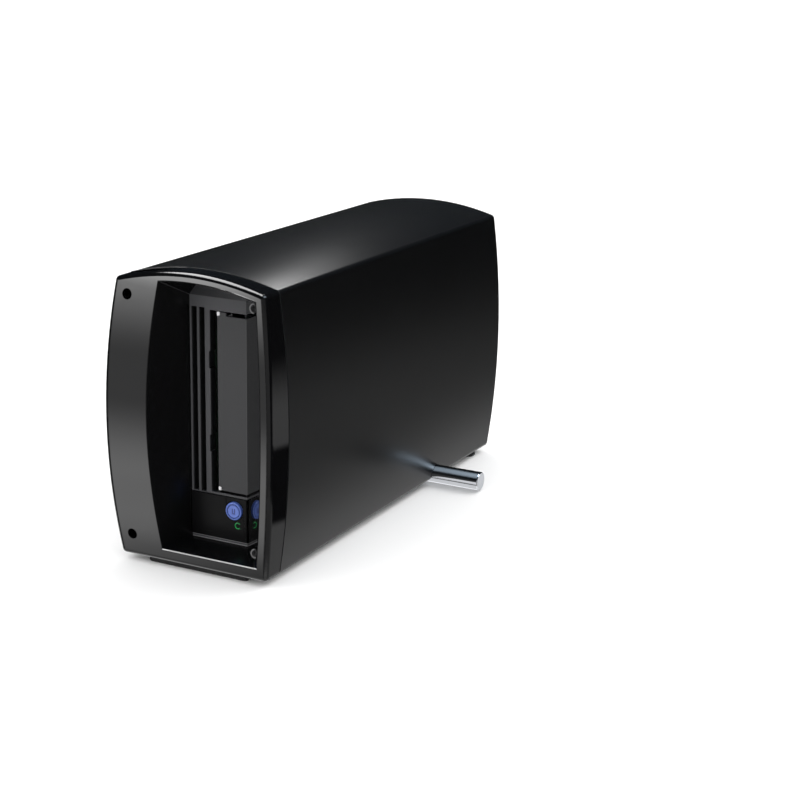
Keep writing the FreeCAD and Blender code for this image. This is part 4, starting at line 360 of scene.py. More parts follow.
@dataclass(frozen=True)
class Polished(Finish):
    """High-gloss moulding with faint waviness, smears and dust.

    Attributes:
        specular: Specular level of the shader.
        waves: Waves in a millimetre.
        wave_depth: Depth of the waves, in millimetres.
        dust: Specks of dust in a millimetre.
        dust_from: Level of the noise at which a speck begins.
        dust_gain: How fast a speck fills above that level.
        dust_tint: Share of the colour on a speck.
        dust_sheen: Roughness that a speck adds.
        smears: Smears in a millimetre.
        smear_sheen: How far a smear changes the roughness.
    """

    specular: float = 0.5
    waves: float = 0.09
    wave_depth: float = 0.006
    dust: float = 1.8
    dust_from: float = 0.66
    dust_gain: float = 2.4
    dust_tint: float = 1.5
    dust_sheen: float = 0.12
    smears: float = 0.03
    smear_sheen: float = 0.03

    def build(self, tree: ShaderTree) -> None:
        """Fill the material's tree."""
        place = tree.millimetres()
        wave = tree.noise(place, self.waves, detail=1.0)
        dust = tree.noise(place, self.dust, detail=4.0, roughness=0.7)
        speck = (dust - self.dust_from).clamped() * self.dust_gain
        smear = tree.noise(place, self.smears, detail=3.0)
        rough = (self.sheen(tree, place) + (smear - 0.5).clamped() * self.smear_sheen
                 + speck * self.dust_sheen)
        shade = tree.mixed(speck.clamped(), self.colour, self.tinted(self.dust_tint))
        tree.surface(Base_Color=shade, Roughness=rough, Normal=tree.bump(wave, self.wave_depth * MM),
                     Specular_IOR_Level=self.specular)

    def sheen(self, tree: ShaderTree, place: Channel) -> Any:
        """Roughness before the smears, given the place in millimetres."""
        return self.roughness


@dataclass(frozen=True)
class Funnelled(Polished):
    """High gloss, with a satin floor and left wall inside the funnel.

    Attributes:
        satin: Roughness that they add.
        wall_facing: Least X of the left wall's normal.
        floor_facing: Least Z of the floor's normal.
        floor_top: Height below which a face that looks up is the funnel's floor, in millimetres.
    """

    satin: float = 0.24
    wall_facing: float = 0.3
    floor_facing: float = 0.5
    floor_top: float = 30.0

    def sheen(self, tree: ShaderTree, place: Channel) -> Channel:
        """Roughness before the smears, given the place in millimetres."""
        facing = tree.facing()
        wall = (tree.axis(facing, "X") > self.wall_facing) * (tree.axis(place, "X") < 0.0)
        floor = (tree.axis(facing, "Z") > self.floor_facing) * (tree.axis(place, "Z") < self.floor_top)
        return self.roughness + (wall + floor).clamped() * self.satin


@dataclass(frozen=True)
class Metal(Finish):
    """Bare or plated metal with drawn or rolled streaks.

    Attributes:
        stretch: Share by which each axis is scaled before the streaks are drawn.
        streak: Streaks in a millimetre.
        drift: How far the streaks change the roughness.
        depth: Depth of the streaks, in millimetres.
        tones: Shares of the colour at its darkest and its lightest.
        streak_share: Share of the streaks in the colour; clouds have the rest.
        clouds: Clouds in a millimetre.
        cloud_sheen: How far the clouds change the roughness.
    """

    stretch: tuple[float, float, float] = (1.0, 0.04, 1.0)
    streak: float = 3.0
    drift: float = 0.12
    depth: float = 0.002
    tones: tuple[float, float] = (0.82, 1.1)
    streak_share: float = 0.6
    clouds: float = 0.05
    cloud_sheen: float = 0.08

    def build(self, tree: ShaderTree) -> None:
        """Fill the material's tree."""
        place = tree.millimetres()
        lines = tree.noise(tree.stretched(place, self.stretch), self.streak, detail=4.0, roughness=0.6)
        cloud = tree.noise(place, self.clouds, detail=3.0)
        blend = lines * self.streak_share + cloud * (1.0 - self.streak_share)
        rough = self.roughness + (lines - 0.5) * self.drift + (cloud - 0.5) * self.cloud_sheen
        metallic, rougher = self.ends(tree)
        tree.surface(Base_Color=self.toned(tree, blend, self.tones), Metallic=metallic,
                     Roughness=rough + rougher, Normal=tree.bump(lines, self.depth * MM))

    def ends(self, tree: ShaderTree) -> tuple[Any, Any]:
        """How metallic the surface is, and what its ends add to the roughness."""
        return 1.0, 0.0


@dataclass(frozen=True)
class TurnedBar(Metal):
    """Plated bar along X with plain turned ends.

    Attributes:
        end_facing: Least square of the X of an end's normal.
        end_sheen: Roughness that the ends add.
        bare: How much less metallic the ends look than the plating.
    """

    end_facing: float = 0.8
    end_sheen: float = 0.3
    bare: float = 0.5

    def ends(self, tree: ShaderTree) -> tuple[Channel, Channel]:
        """How metallic the surface is, and what its ends add to the roughness."""
        across = tree.axis(tree.facing(), "X")
        end = across * across > self.end_facing
        return 1.0 - end * self.bare, end * self.end_sheen


@dataclass(frozen=True)
class Galvanised(Finish):
    """Zinc-coated sheet with its spangle.

    Attributes:
        spangle: Crystals in a millimetre.
        grain: Grains in a millimetre.
        depth: Depth of the grain, in millimetres.
        tones: Shares of the colour at its darkest and its lightest.
        crystal_share: Share of the crystals in the colour; the grain has the rest.
        crystal_sheen: How far the crystals change the roughness.
        grain_sheen: How far the grain changes the roughness.
    """

    spangle: float = 0.16
    grain: float = 1.2
    depth: float = 0.004
    tones: tuple[float, float] = (0.78, 1.08)
    crystal_share: float = 0.7
    crystal_sheen: float = 0.16
    grain_sheen: float = 0.05

    def build(self, tree: ShaderTree) -> None:
        """Fill the material's tree."""
        place = tree.millimetres()
        crystal = tree.axis(tree.cells(place, self.spangle, "Color"), "X")
        fine = tree.noise(place, self.grain, detail=3.0)
        blend = crystal * self.crystal_share + fine * (1.0 - self.crystal_share)
        rough = self.roughness + (crystal - 0.5) * self.crystal_sheen + (fine - 0.5) * self.grain_sheen
        tree.surface(Base_Color=self.toned(tree, blend, self.tones), Metallic=1.0, Roughness=rough,
                     Normal=tree.bump(fine, self.depth * MM))


@dataclass(frozen=True)
class Rubber(Finish):
    """Soft black rubber with a powdery bloom.

    Attributes:
        bloom: Patches of bloom in a millimetre.
        bloom_sheen: How far the bloom changes the roughness.
        tones: Shares of the colour without bloom and under it.
        grain: Grains in a millimetre.
        depth: Depth of the grain, in millimetres.
        specular: Specular level of the shader.
    """

    bloom: float = 0.35
    bloom_sheen: float = 0.15
    tones: tuple[float, float] = (0.8, 1.7)
    grain: float = 4.0
    depth: float = 0.02
    specular: float = 0.3

    def build(self, tree: ShaderTree) -> None:
        """Fill the material's tree."""
        place = tree.millimetres()
        bloom = tree.noise(place, self.bloom, detail=5.0, roughness=0.65)
        fine = tree.noise(place, self.grain)
        tree.surface(Base_Color=self.toned(tree, bloom, self.tones),
                     Roughness=self.roughness + (bloom - 0.5) * self.bloom_sheen,
                     Normal=tree.bump(fine, self.depth * MM), Specular_IOR_Level=self.specular)


@dataclass(frozen=True)
class Laminate(Finish):
    """Circuit board under solder mask, with copper tracks and bare vias.

    Attributes:
        plane: The two axes that lie in the board.
        tracks: Track spacings in a millimetre.
        track_level: Level of a track's wave above which there is copper.
        turns: Patches in a millimetre in which the tracks keep one direction.
        fields: Patches in a millimetre that hold tracks.
        field_level: Level of the noise above which a patch holds tracks.
        vias: Vias in a millimetre.
        via_radius: Radius of a via, as a share of their spacing.
        via_colour: Colour of a via.
        track_tint: Share of the mask's colour over copper.
        track_sheen: Roughness that copper takes off.
        track_height: Height of the copper under the mask, in millimetres.
    """

    plane: str = "YZ"
    tracks: float = 0.8
    track_level: float = 0.35
    turns: float = 0.06
    fields: float = 0.11
    field_level: float = 0.42
    vias: float = 0.3
    via_radius: float = 0.14
    via_colour: tuple[float, float, float] = (0.55, 0.5, 0.36)
    track_tint: float = 2.1
    track_sheen: float = 0.06
    track_height: float = 0.03

    def build(self, tree: ShaderTree) -> None:
        """Fill the material's tree."""
        place = tree.millimetres()
        along, over = ((tree.axis(place, name) * self.tracks * math.tau).sine() for name in self.plane)
        patch = tree.noise(place, self.turns, detail=0.0) > 0.5
        run = (patch * along + (1.0 - patch) * over) > self.track_level
        field = tree.noise(place, self.fields) > self.field_level
        copper = run * field
        via = tree.cells(place, self.vias) < self.via_radius
        masked = tree.mixed(copper, self.colour, self.tinted(self.track_tint))
        shade = tree.mixed(via * field, masked, self.via_colour)
        tree.surface(Base_Color=shade, Roughness=self.roughness - copper * self.track_sheen,
                     Normal=tree.bump(copper, self.track_height * MM))


@dataclass(frozen=True)
class Wound(Finish):
    """Copper windings, seen as fine turns.

    Attributes:
        turns: Turns in a millimetre.
        wire_height: Height of a turn, in millimetres.
        metallic: How metallic the lacquered wire looks.
        grime: Patches of grime in a millimetre.
        grime_sheen: How far the grime changes the roughness.
        tones: Shares of the colour at its darkest and its lightest.
    """

    turns: float = 2.2
    wire_height: float = 0.08
    metallic: float = 0.9
    grime: float = 0.3
    grime_sheen: float = 0.2
    tones: tuple[float, float] = (0.7, 1.15)

    def build(self, tree: ShaderTree) -> None:
        """Fill the material's tree."""
        place = tree.millimetres()
        wire = (tree.axis(place, "X") * self.turns * math.tau).sine()
        grime = tree.noise(place, self.grime, detail=3.0)
        tree.surface(Base_Color=self.toned(tree, grime, self.tones), Metallic=self.metallic,
                     Roughness=self.roughness + (grime - 0.5) * self.grime_sheen,
                     Normal=tree.bump(wire, self.wire_height * MM))


@dataclass(frozen=True)
class Lit(Finish):
    """Light pipe that glows from behind.

    Attributes:
        glow: Strength of the light.
        mottle: Patches in a millimetre.
        mottle_sheen: How far they change the roughness.
        tones: Shares of the colour at its darkest and its lightest.
    """

    glow: float = 1.0
    mottle: float = 0.9
    mottle_sheen: float = 0.1
    tones: tuple[float, float] = (0.75, 1.2)

    def build(self, tree: ShaderTree) -> None:
        """Fill the material's tree."""
        mottle = tree.noise(tree.millimetres(), self.mottle)
        tone = self.toned(tree, mottle, self.tones)
        tree.surface(Base_Color=tone, Roughness=self.roughness + (mottle - 0.5) * self.mottle_sheen,
                     Emission_Color=tone, Emission_Strength=self.glow)


class Finishes:
    """Every finish on the drive, by what it covers."""

    SLEEVE = Moulded("sleeve_satin_black", (0.002, 0.002, 0.0022), 0.31, grain=2.2, depth=0.006,
                     sheen_drift=0.05)
    BEZEL = Funnelled("bezel_piano_black", (0.0022, 0.0022, 0.0025), 0.02)
    CORNER = Moulded("funnel_corner_satin_black", (0.02, 0.02, 0.021), 0.4, grain=3.0, depth=0.004)
    # Light-grey bead on the sill's edge: a painted highlight.
    SILL_HIGHLIGHT = Moulded("sill_edge_painted_highlight_grey", (0.42, 0.42, 0.42), 0.32, grain=3.0, depth=0.004)
    # Drive face whose slots and recesses carry painted shade.
    FACE = RecessShaded("drive_face_dark_grey", (0.046, 0.046, 0.05), 0.58, grain=3.0, depth=0.014,
                    open_at=span("drive_faceplate")[0].y)
    DOOR = Moulded("door_dark_grey", (0.031, 0.031, 0.033), 0.56, grain=3.0, depth=0.014)
    # Lighter grey than the door: a painted highlight on its edge.
    DOOR_EDGE_HIGHLIGHT = Moulded("door_edge_painted_highlight_grey", (0.075, 0.075, 0.078), 0.35, grain=3.0, depth=0.004)
    PANEL = Moulded("panel_near_black", (0.003, 0.003, 0.0034), 0.34, grain=3.4, depth=0.008, specular=0.1)
    BUTTON = Polished("button_blue", (0.085, 0.143, 0.455), 0.3)
    BUSH = Polished("bush_white", (0.75, 0.75, 0.76), 0.35)
    PIPE = Polished("light_pipe_smoked", (0.003, 0.012, 0.006), 0.3, specular=0.2)
    LIGHT = Lit("light_pipe_lit_green", (0.008, 0.2, 0.045), 0.3, glow=0.45)
    # Black strip in the seam: painted shade of its gap.
    SEAM_SHADE = Rubber("seam_shade_strip_black", (0.001, 0.001, 0.001), 0.9)
    CHROME = TurnedBar("rod_chrome", (0.78, 0.8, 0.84), 0.07, stretch=(0.02, 1.0, 1.0), streak=2.0,
                       drift=0.03, depth=0.0004)
    SCREW = Metal("screw_black_zinc", (0.2, 0.2, 0.21), 0.38, stretch=(1.0, 0.3, 1.0), drift=0.15)
    STEEL = Metal("pin_bright_steel", (0.62, 0.62, 0.63), 0.25)
    DARK_STEEL = Metal("pin_phosphated_steel", (0.06, 0.06, 0.065), 0.4)
    # Light-grey collars: a painted highlight on the screw holes' rims.
    HOLE_RIM_HIGHLIGHT = Polished("hole_rim_painted_highlight_grey", (0.11, 0.11, 0.112), 0.22)
    # Light-grey beads under the panel: painted highlights.
    LIP_HIGHLIGHT = Moulded("lip_painted_highlight_grey", (0.16, 0.16, 0.165), 0.4, grain=3.0, depth=0.006)
    SIGN = Moulded("sign_dark_blue", (0.03, 0.04, 0.16), 0.4, grain=4.0, depth=0.004)
    CLAMP = Moulded("clamp_black", (0.02, 0.02, 0.02), 0.5)
    SHEET = Galvanised("chassis_zinc_sheet", (0.6, 0.61, 0.63), 0.38)
    CAST = Metal("drive_case_aluminium", (0.62, 0.63, 0.65), 0.36, stretch=(1.0, 0.06, 1.0))
    CARRIER = Metal("carrier_aluminium", (0.7, 0.7, 0.71), 0.3, stretch=(1.0, 0.05, 1.0))
    ROLLER = Metal("roller_polished", (0.75, 0.75, 0.77), 0.14, stretch=(0.05, 1.0, 1.0), drift=0.05)
    CLUTCH = Metal("clutch_steel", (0.5, 0.5, 0.51), 0.3, stretch=(1.0, 1.0, 1.0))
    HEAD = Metal("head_ground_ceramic", (0.34, 0.3, 0.27), 0.22, stretch=(0.05, 1.0, 1.0))
    REEL = Moulded("reel_light_grey", (0.5, 0.51, 0.53), 0.4)
    MOTOR = Wound("motor_copper", (0.55, 0.26, 0.1), 0.4)
    SPRING = Metal("spring_phosphated_steel", (0.1, 0.1, 0.11), 0.35, stretch=(1.0, 1.0, 0.2))
    BOARD = Laminate("board_green_mask", (0.005, 0.032, 0.013), 0.38)
    FLAT_BOARD = Laminate("flat_board_green_mask", (0.005, 0.032, 0.013), 0.38, plane="XY")
    FACE_BOARD = Laminate("panel_board_green_mask", (0.005, 0.032, 0.013), 0.38, plane="XZ")
    CONNECTOR = Moulded("connector_black", (0.015, 0.015, 0.015), 0.42, grain=4.0)
    SUPPLY = Metal("supply_plain_aluminium", (0.58, 0.58, 0.6), 0.42)
    REAR = Moulded("rear_powder_black", (0.014, 0.014, 0.014), 0.5, grain=1.6, depth=0.05)
    FAN = Moulded("fan_black", (0.012, 0.012, 0.013), 0.42, grain=3.0)
    INLET = Moulded("inlet_black", (0.015, 0.015, 0.015), 0.45, grain=3.2)
    CONTACT = Metal("contact_tinned_brass", (0.72, 0.66, 0.5), 0.25, stretch=(1.0, 0.1, 1.0))
    ROCKER = Polished("rocker_black", (0.012, 0.012, 0.012), 0.28)
    PORT = Metal("port_nickel", (0.66, 0.64, 0.6), 0.24, stretch=(1.0, 0.1, 1.0), drift=0.08)
    RUBBER = Rubber("rubber_black", (0.012, 0.012, 0.012), 0.75)


def dress(node: str, finish: Finish) -> None:
    """Give a carried-over node its finish."""
    piece = NODES[node]
    piece.data.materials.clear()
    piece.data.materials.append(finish.material())
    LOG.info("%s: %s", node, finish.name)


@dataclass(frozen=True)
class Glow:
    """Soft-edged patch of light on the dome that polished faces mirror.

    Attributes:
        strength: Radiance at the middle of the patch.
        azimuth: Lowest and highest azimuth in degrees: nought is ahead of the front, and 90 is to its right.
        elevation: Lowest and highest elevation in degrees.
        soft: Widths in degrees of the soft edges in azimuth, at the lowest and at the highest elevation.
        tint: Colour of the light.
    """

    strength: float
    azimuth: tuple[float, float]
    elevation: tuple[float, float]
    soft: tuple[float, float, float]
    tint: tuple[float, float, float] = (1.0, 1.0, 1.0)


@dataclass(frozen=True)
class Softbox:
    """Square light over the table, placed in metres.

    Attributes:
        name: The light's name.
        at: Its centre.
        to: The point that it faces.
        side: Its width and height.
        power: Its power in watts.
        mirrored: Whether shiny faces show it.
    """

    name: str
    at: tuple[float, float, float]
    to: tuple[float, float, float]
    side: float
    power: float
    mirrored: bool = False

    def hang(self) -> None:
        """Add the light to the scene."""
        data = bpy.data.lights.new(self.name, "AREA")
        data.size = self.side
        data.energy = self.power
        light = bpy.data.objects.new(self.name, data)
        light.location = self.at
        light.rotation_euler = (Vector(self.to) - Vector(self.at)).to_track_quat("-Z", "Y").to_euler()
        light.visible_camera = False
        light.visible_glossy = self.mirrored
        bpy.context.scene.collection.objects.link(light)


@dataclass
class Studio:
    """Pale floor, soft lights, mirrored surroundings and the camera, placed in metres.

    Attributes:
        camera_at: Place of the camera.
        yaw: Turn of the view to the left of straight ahead, in degrees.
        pitch: Tilt of the view below level, in degrees.
        roll: Turn of the camera about its own line of sight, in degrees.
        focal_pixels: Focal length in pixels of the square picture.
        picture_pixels: Side of the square picture.
        sensor: Width of the camera's sensor, in millimetres.
        floor_radius: Radius of the floor.
        floor_greys: Darkest and lightest grey of the floor.
        dome_radius: Radius of the mirrored dome.
        sky: Strength of the white light from all round.
        softboxes: The lights above.
        glows: Patches of light on the mirrored dome.
    """

    camera_at: tuple[float, float, float] = (0.5377, -0.9483, 0.3799)
    yaw: float = 26.82
    pitch: float = 15.87
    roll: float = 1.088
    focal_pixels: float = 1738.0
    picture_pixels: float = 800.0
    sensor: float = 36.0
    floor_radius: float = 60.0
    floor_greys: tuple[float, float] = (0.925, 0.935)
    dome_radius: float = 72.0
    sky: float = 1.38
    softboxes: tuple[Softbox, ...] = (
        Softbox("key_softbox", (0.9, 0.9, 1.6), (0.0, 0.0, 0.08), 1.2, 10.0),
        Softbox("front_softbox", (-0.9, -1.4, 1.1), (0.0, 0.0, 0.08), 1.2, 5.0),
        Softbox("top_softbox", (-0.035, 0.13, 0.38), (0.04, -0.13, 0.178), 0.05, 0.25, mirrored=True),
    )
    glows: tuple[Glow, ...] = (
        Glow(11.5, (-128.0, -36.0), (50.0, 80.0), (12.0, 5.0, 8.0)),
        Glow(4.2, (36.0, 125.0), (36.0, 75.0), (10.0, 8.0, 8.0), (0.8, 0.95, 1.08)),
        Glow(0.026, (-200.0, 200.0), (6.0, 50.0), (1.0, 10.0, 10.0), (0.75, 0.95, 1.2)),
        Glow(2.4, (-50.0, -28.5), (-31.0, -18.0), (4.0, 9.0, 9.0)),
        Glow(0.75, (-50.0, -28.5), (-20.0, 5.0), (4.0, 9.0, 8.0)),
        Glow(4.8, (-50.0, -28.5), (-2.0, 6.0), (4.0, 14.0, 8.0)),
        Glow(4.2, (-50.0, -28.5), (0.0, 6.0), (4.0, 3.0, 8.0)),
        Glow(0.45, (118.0, 154.0), (-17.7, -11.5), (20.0, 0.8, 6.0)),
        Glow(0.37, (118.0, 190.0), (-40.0, -24.9), (20.0, 6.0, 0.8)),
        Glow(1.6, (165.0, 200.0), (-36.0, -19.0), (3.5, 6.0, 4.0)),
        Glow(0.8, (-26.5, -12.0), (-50.0, 2.0), (3.0, 6.0, 4.0)),
        Glow(0.35, (0.0, 118.0), (-60.0, -26.0), (16.0, 4.0, 4.0)),
        Glow(0.36, (-6.0, 70.0), (-26.0, 8.0), (7.0, 10.0, 14.0)),
        Glow(0.5, (-155.0, -70.0), (-60.0, -22.0), (20.0, 8.0, 10.0)),
        Glow(0.72, (-200.0, 200.0), (-95.0, -40.0), (1.0, 1.0, 6.0)),
    )

    def build(self) -> None:
        """Make the whole studio."""
        self.camera()
        self.floor()
        self.dome()
        self.world()
        for softbox in self.softboxes:
            softbox.hang()
        bpy.context.scene.view_settings.view_transform = "Standard"

    def camera(self) -> None:
        """Place the camera where the picture was taken from."""
        yaw, pitch, roll = (math.radians(value) for value in (self.yaw, self.pitch, self.roll))
        ahead = Vector((-math.sin(yaw) * math.cos(pitch), math.cos(yaw) * math.cos(pitch),
                        -math.sin(pitch)))
        level = Vector((math.cos(yaw), math.sin(yaw), 0.0))
        upright = level.cross(ahead)
        right = level * math.cos(roll) + upright * math.sin(roll)
        up = upright * math.cos(roll) - level * math.sin(roll)
        data = bpy.data.cameras.new("camera")
        data.sensor_width = self.sensor
        data.lens = self.focal_pixels / self.picture_pixels * self.sensor
        data.clip_end = 2 * (self.floor_radius + self.dome_radius)
        seen_by = bpy.data.objects.new("camera", data)
        turned = Matrix((right, up, -ahead)).transposed()
        seen_by.matrix_world = Matrix.Translation(self.camera_at) @ turned.to_4x4()
        bpy.context.scene.collection.objects.link(seen_by)
        bpy.context.scene.camera = seen_by

    def backdrop(self, name: str, shape: bmesh.types.BMesh,
                 material: bpy.types.Material) -> bpy.types.Object:
        """Add a stage piece.

        Args:
            name: Its name.
            shape: Its mesh, which is freed here.
            material: Its material.

        Returns:
            The new object.
        """
        mesh = bpy.data.meshes.new(name)
        shape.to_mesh(mesh)
        shape.free()
        mesh.materials.append(material)
        piece = bpy.data.objects.new(name, mesh)
        bpy.context.scene.collection.objects.link(piece)
        return piece

    def floor(self) -> None:
        """Lay the pale floor, which the dome stands in for wherever a face mirrors it."""
        shape = bmesh.new()
        bmesh.ops.create_circle(shape, cap_ends=True, segments=96, radius=self.floor_radius)
        material = bpy.data.materials.new("floor_pale")
        tree = ShaderTree(material)
        grain = tree.noise(tree.millimetres(), 0.02)
        shade = tree.mixed(grain, *((grey, grey, grey) for grey in self.floor_greys))
        tree.surface(Base_Color=shade, Roughness=0.9, Specular_IOR_Level=0.1)
        self.backdrop("floor", shape, material).visible_glossy = False

    def dome(self) -> None:
        """Surround the scene with the dark studio and its soft patches of light that faces mirror."""
        shape = bmesh.new()
        bmesh.ops.create_uvsphere(shape, u_segments=48, v_segments=24, radius=self.dome_radius)
        material = bpy.data.materials.new("studio_surroundings")
        material.cycles.emission_sampling = "NONE"
        tree = ShaderTree(material)
        toward = tree.node("ShaderNodeVectorMath", {"operation": "NORMALIZE"},
                           {0: tree.node("ShaderNodeTexCoord", output="Object")})
        x, y, z = (tree.axis(toward, name) for name in "XYZ")
        degrees = math.degrees(1.0)
        azimuth = tree.node("ShaderNodeMath", {"operation": "ARCTAN2"}, {0: x, 1: 0.0 - y}) * degrees
        elevation = tree.node("ShaderNodeMath", {"operation": "ARCSINE"}, {0: z}) * degrees
        light: Any = (0.0, 0.0, 0.0)
        for glow in self.glows:
            side, low, high = glow.soft
            share = (tree.between(azimuth, glow.azimuth, (side, side))
                     * tree.between(elevation, glow.elevation, (low, high)) * glow.strength)
            patch = tree.node("ShaderNodeVectorMath", {"operation": "SCALE"}, {0: glow.tint, "Scale": share})
            light = tree.node("ShaderNodeVectorMath", {"operation": "ADD"}, {0: light, 1: patch})
        tree.surface(Base_Color=(0.0, 0.0, 0.0, 1.0), Specular_IOR_Level=0.0, Emission_Color=light,
                     Emission_Strength=1.0)
        piece = self.backdrop("surroundings", shape, material)
        for ray in ("camera", "diffuse", "transmission", "volume_scatter", "shadow"):
            setattr(piece, "visible_" + ray, False)

    def world(self) -> None:
        """Light the scene from all round with a soft white."""
        world = bpy.data.worlds.new("studio")
        bpy.context.scene.world = world
        world.use_nodes = True
        backdrop = world.node_tree.nodes["Background"]
        backdrop.inputs["Color"].default_value = (1.0, 1.0, 1.0, 1.0)
        backdrop.inputs["Strength"].default_value = self.sky


class Shape:
    """Mesh under construction, in millimetres along the frame's axes."""

    def __init__(self) -> None:
        """Begin with nothing."""
        self.mesh = bmesh.new()

    @classmethod
    def of_node(cls, node: str) -> "Shape":
        """Copy of a CAD node's mesh, with its seams welded."""
        shape = cls()
        shape.mesh.from_mesh(NODES[node].data)
        bmesh.ops.scale(shape.mesh, vec=Vector((1.0, 1.0, 1.0)) / MM, verts=shape.mesh.verts)
        bmesh.ops.remove_doubles(shape.mesh, verts=shape.mesh.verts, dist=0.002)
        return shape

    def islands(self) -> list[list[Vector]]:
        """Corners of each part of the mesh that hangs together."""
        seen: set[int] = set()
        found = []
        for start in self.mesh.verts:
            if start.index in seen:
                continue
            seen.add(start.index)
            group = [start]
            for vert in group:
                for edge in vert.link_edges:
                    other = edge.other_vert(vert)
                    if other.index not in seen:
                        seen.add(other.index)
                        group.append(other)
            found.append([vert.co.copy() for vert in group])
        return found

    def face(self, corners: Sequence[bmesh.types.BMVert]) -> None:
        """Add one face, leaving out corners that repeat."""
        self.mesh.faces.new(list(dict.fromkeys(corners)))

    def lathe(self, profile: Sequence[tuple[float, float]], at: Vector, axis: Vector,
              steps: int) -> list[bmesh.types.BMVert]:
        """Turn a profile about an axis.

        Args:
            profile: Radius and distance along the axis, in order; a radius of nought is a pole.
            at: Where the axis starts.
            axis: The direction of the axis.
            steps: Faces round the turn.

        Returns:
            The corners of the last turn.
        """
        turn = axis.to_track_quat("Z", "Y").to_matrix()
        rows = []
        for radius, along in profile:
            angles = [math.tau * index / steps for index in range(steps)] if radius else [0.0]
            rows.append([self.mesh.verts.new(at + turn @ Vector((radius * math.cos(angle),
                                                                 radius * math.sin(angle), along)))
                         for angle in angles])
        for lower, upper in zip(rows, rows[1:]):
            for index in range(steps):
                after = index + 1
                self.face([lower[index % len(lower)], lower[after % len(lower)], upper[after % len(upper)],
                           upper[index % len(upper)]])
        return rows[-1]

    def sweep(self, path: Sequence[Vector], radius: float, closed: bool = False, sides: int = 8) -> None:
        """Run a round bead along a path.

        Args:
            path: Its points.
            radius: The bead's radius.
            closed: Whether the last point joins the first.
            sides: Faces round the bead.
        """
        count = len(path)
        rows = []
        guide = Vector((0.3, 0.5, 0.8))
        angles = [math.tau * step / sides for step in range(sides)]
        for index, point in enumerate(path):
            before = path[index - 1] if index or closed else point
            after = path[(index + 1) % count] if index + 1 < count or closed else point
            along = (after - before).normalized()
            guide = (guide - along * guide.dot(along)).normalized()
            side = along.cross(guide)
            rows.append([self.mesh.verts.new(point + (guide * math.cos(angle)
                                                      + side * math.sin(angle)) * radius)
                         for angle in angles])
        pairs = list(zip(rows, rows[1:])) + ([(rows[-1], rows[0])] if closed else [])
        for lower, upper in pairs:
            for index in range(sides):
                after = (index + 1) % sides
                self.face([lower[index], lower[after], upper[after], upper[index]])
        if not closed:
            self.face(rows[0][::-1])
            self.face(rows[-1])

    def block(self, low: Sequence[float], high: Sequence[float], ease: float) -> None:
        """Add a box with rounded edges.

        Args:
            low: Its lowest corner.
            high: Its highest corner.
            ease: Radius of its edges.
        """
        low, high = Vector(low), Vector(high)
        size = high - low
        frame_of = Matrix.Translation((low + high) / 2) @ Matrix.Diagonal((*size, 1.0))
        made = bmesh.ops.create_cube(self.mesh, size=1.0, matrix=frame_of)["verts"]
        edges = list({edge for vert in made for edge in vert.link_edges})
        bmesh.ops.bevel(self.mesh, geom=edges, offset=min(ease, min(size) / 3), segments=2, profile=0.5,
                        affect="EDGES", clamp_overlap=True)

    def piece(self, name: str, finish: Finish, slot: str, body: str = "enclosure",
              nodes: Sequence[str] = (), ease: float = 0.0, crease: float = 35.0) -> None:
        """Turn the mesh into a piece of the object.

        Args:
            name: The piece's name.
            finish: What covers it.
            slot: The record's material slot; not used.
            body: The body that it moves with.
            nodes: The CAD nodes that it stands for.
            ease: Radius given to its sharp edges.
            crease: Edges that turn by more than this, in degrees, stay sharp.
        """
        bmesh.ops.scale(self.mesh, vec=(MM, MM, MM), verts=self.mesh.verts)
        bmesh.ops.recalc_face_normals(self.mesh, faces=self.mesh.faces)
        limit = math.radians(crease)
        for face in self.mesh.faces:
            face.smooth = True
        for edge in self.mesh.edges:
            edge.smooth = not (edge.is_manifold and edge.calc_face_angle() > limit and not ease)
        mesh = bpy.data.meshes.new(name)
        self.mesh.to_mesh(mesh)
        self.mesh.free()
        mesh.materials.append(finish.material())
        made = bpy.data.objects.new(name, mesh)
        bpy.context.scene.collection.objects.link(made)
        if ease:
            bevel = made.modifiers.new("eased_edges", "BEVEL")
            bevel.width = ease * MM
            bevel.segments = 2
            bevel.limit_method = "ANGLE"
            bevel.angle_limit = limit
            bevel.use_clamp_overlap = False
            flat = made.modifiers.new("flat_faces", "WEIGHTED_NORMAL")
            flat.weight = 100
        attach(made, body)
        if nodes:
            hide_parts(*nodes)
        LOG.info("%s: %d faces", name, len(mesh.polygons))


def eased(node: str, finish: Finish, slot: str, ease: float, body: str = "enclosure") -> None:
    """Stand a copy of a node with rounded edges in its place.

    Args:
        node: The CAD node.
        finish: What covers it.
        slot: The record's material slot.
        ease: Radius of its edges.
        body: The body that it moves with.
    """
    Shape.of_node(node).piece(node + "_eased", finish, slot, body, (node,), ease)


def ridges(node: str, wanted: Callable[[Vector], bool],
           turn: float = 25.0) -> list[tuple[list[Vector], bool]]:
    """Lines along which a node's faces meet at an angle.

    Args:
        node: The CAD node.
        wanted: Test of the middle of an edge, in millimetres.
        turn: The least angle between the faces, in degrees.

    Returns:
        Each line's points, and whether it is closed.
    """
    shape = Shape.of_node(node)
    edges = [edge for edge in shape.mesh.edges
             if edge.is_manifold and edge.calc_face_angle() > math.radians(turn)
             and wanted((edge.verts[0].co + edge.verts[1].co) / 2)]
    linked: dict[Any, list[Any]] = {}
    for edge in edges:
        for vert in edge.verts:
            linked.setdefault(vert, []).append(edge)
    left = set(edges)
    lines = []
    while left:
        ends = [vert for vert, joined in linked.items() if sum(edge in left for edge in joined) == 1]
        vert = ends[0] if ends else next(iter(left)).verts[0]
        line = [vert.co.copy()]
        while onward := [edge for edge in linked[vert] if edge in left]:
            left.remove(onward[0])
            vert = onward[0].other_vert(vert)
            line.append(vert.co.copy())
        closed = (line[0] - line[-1]).length < 0.01
        lines.append((line[:-1] if closed else line, closed))
    shape.mesh.free()
    return lines


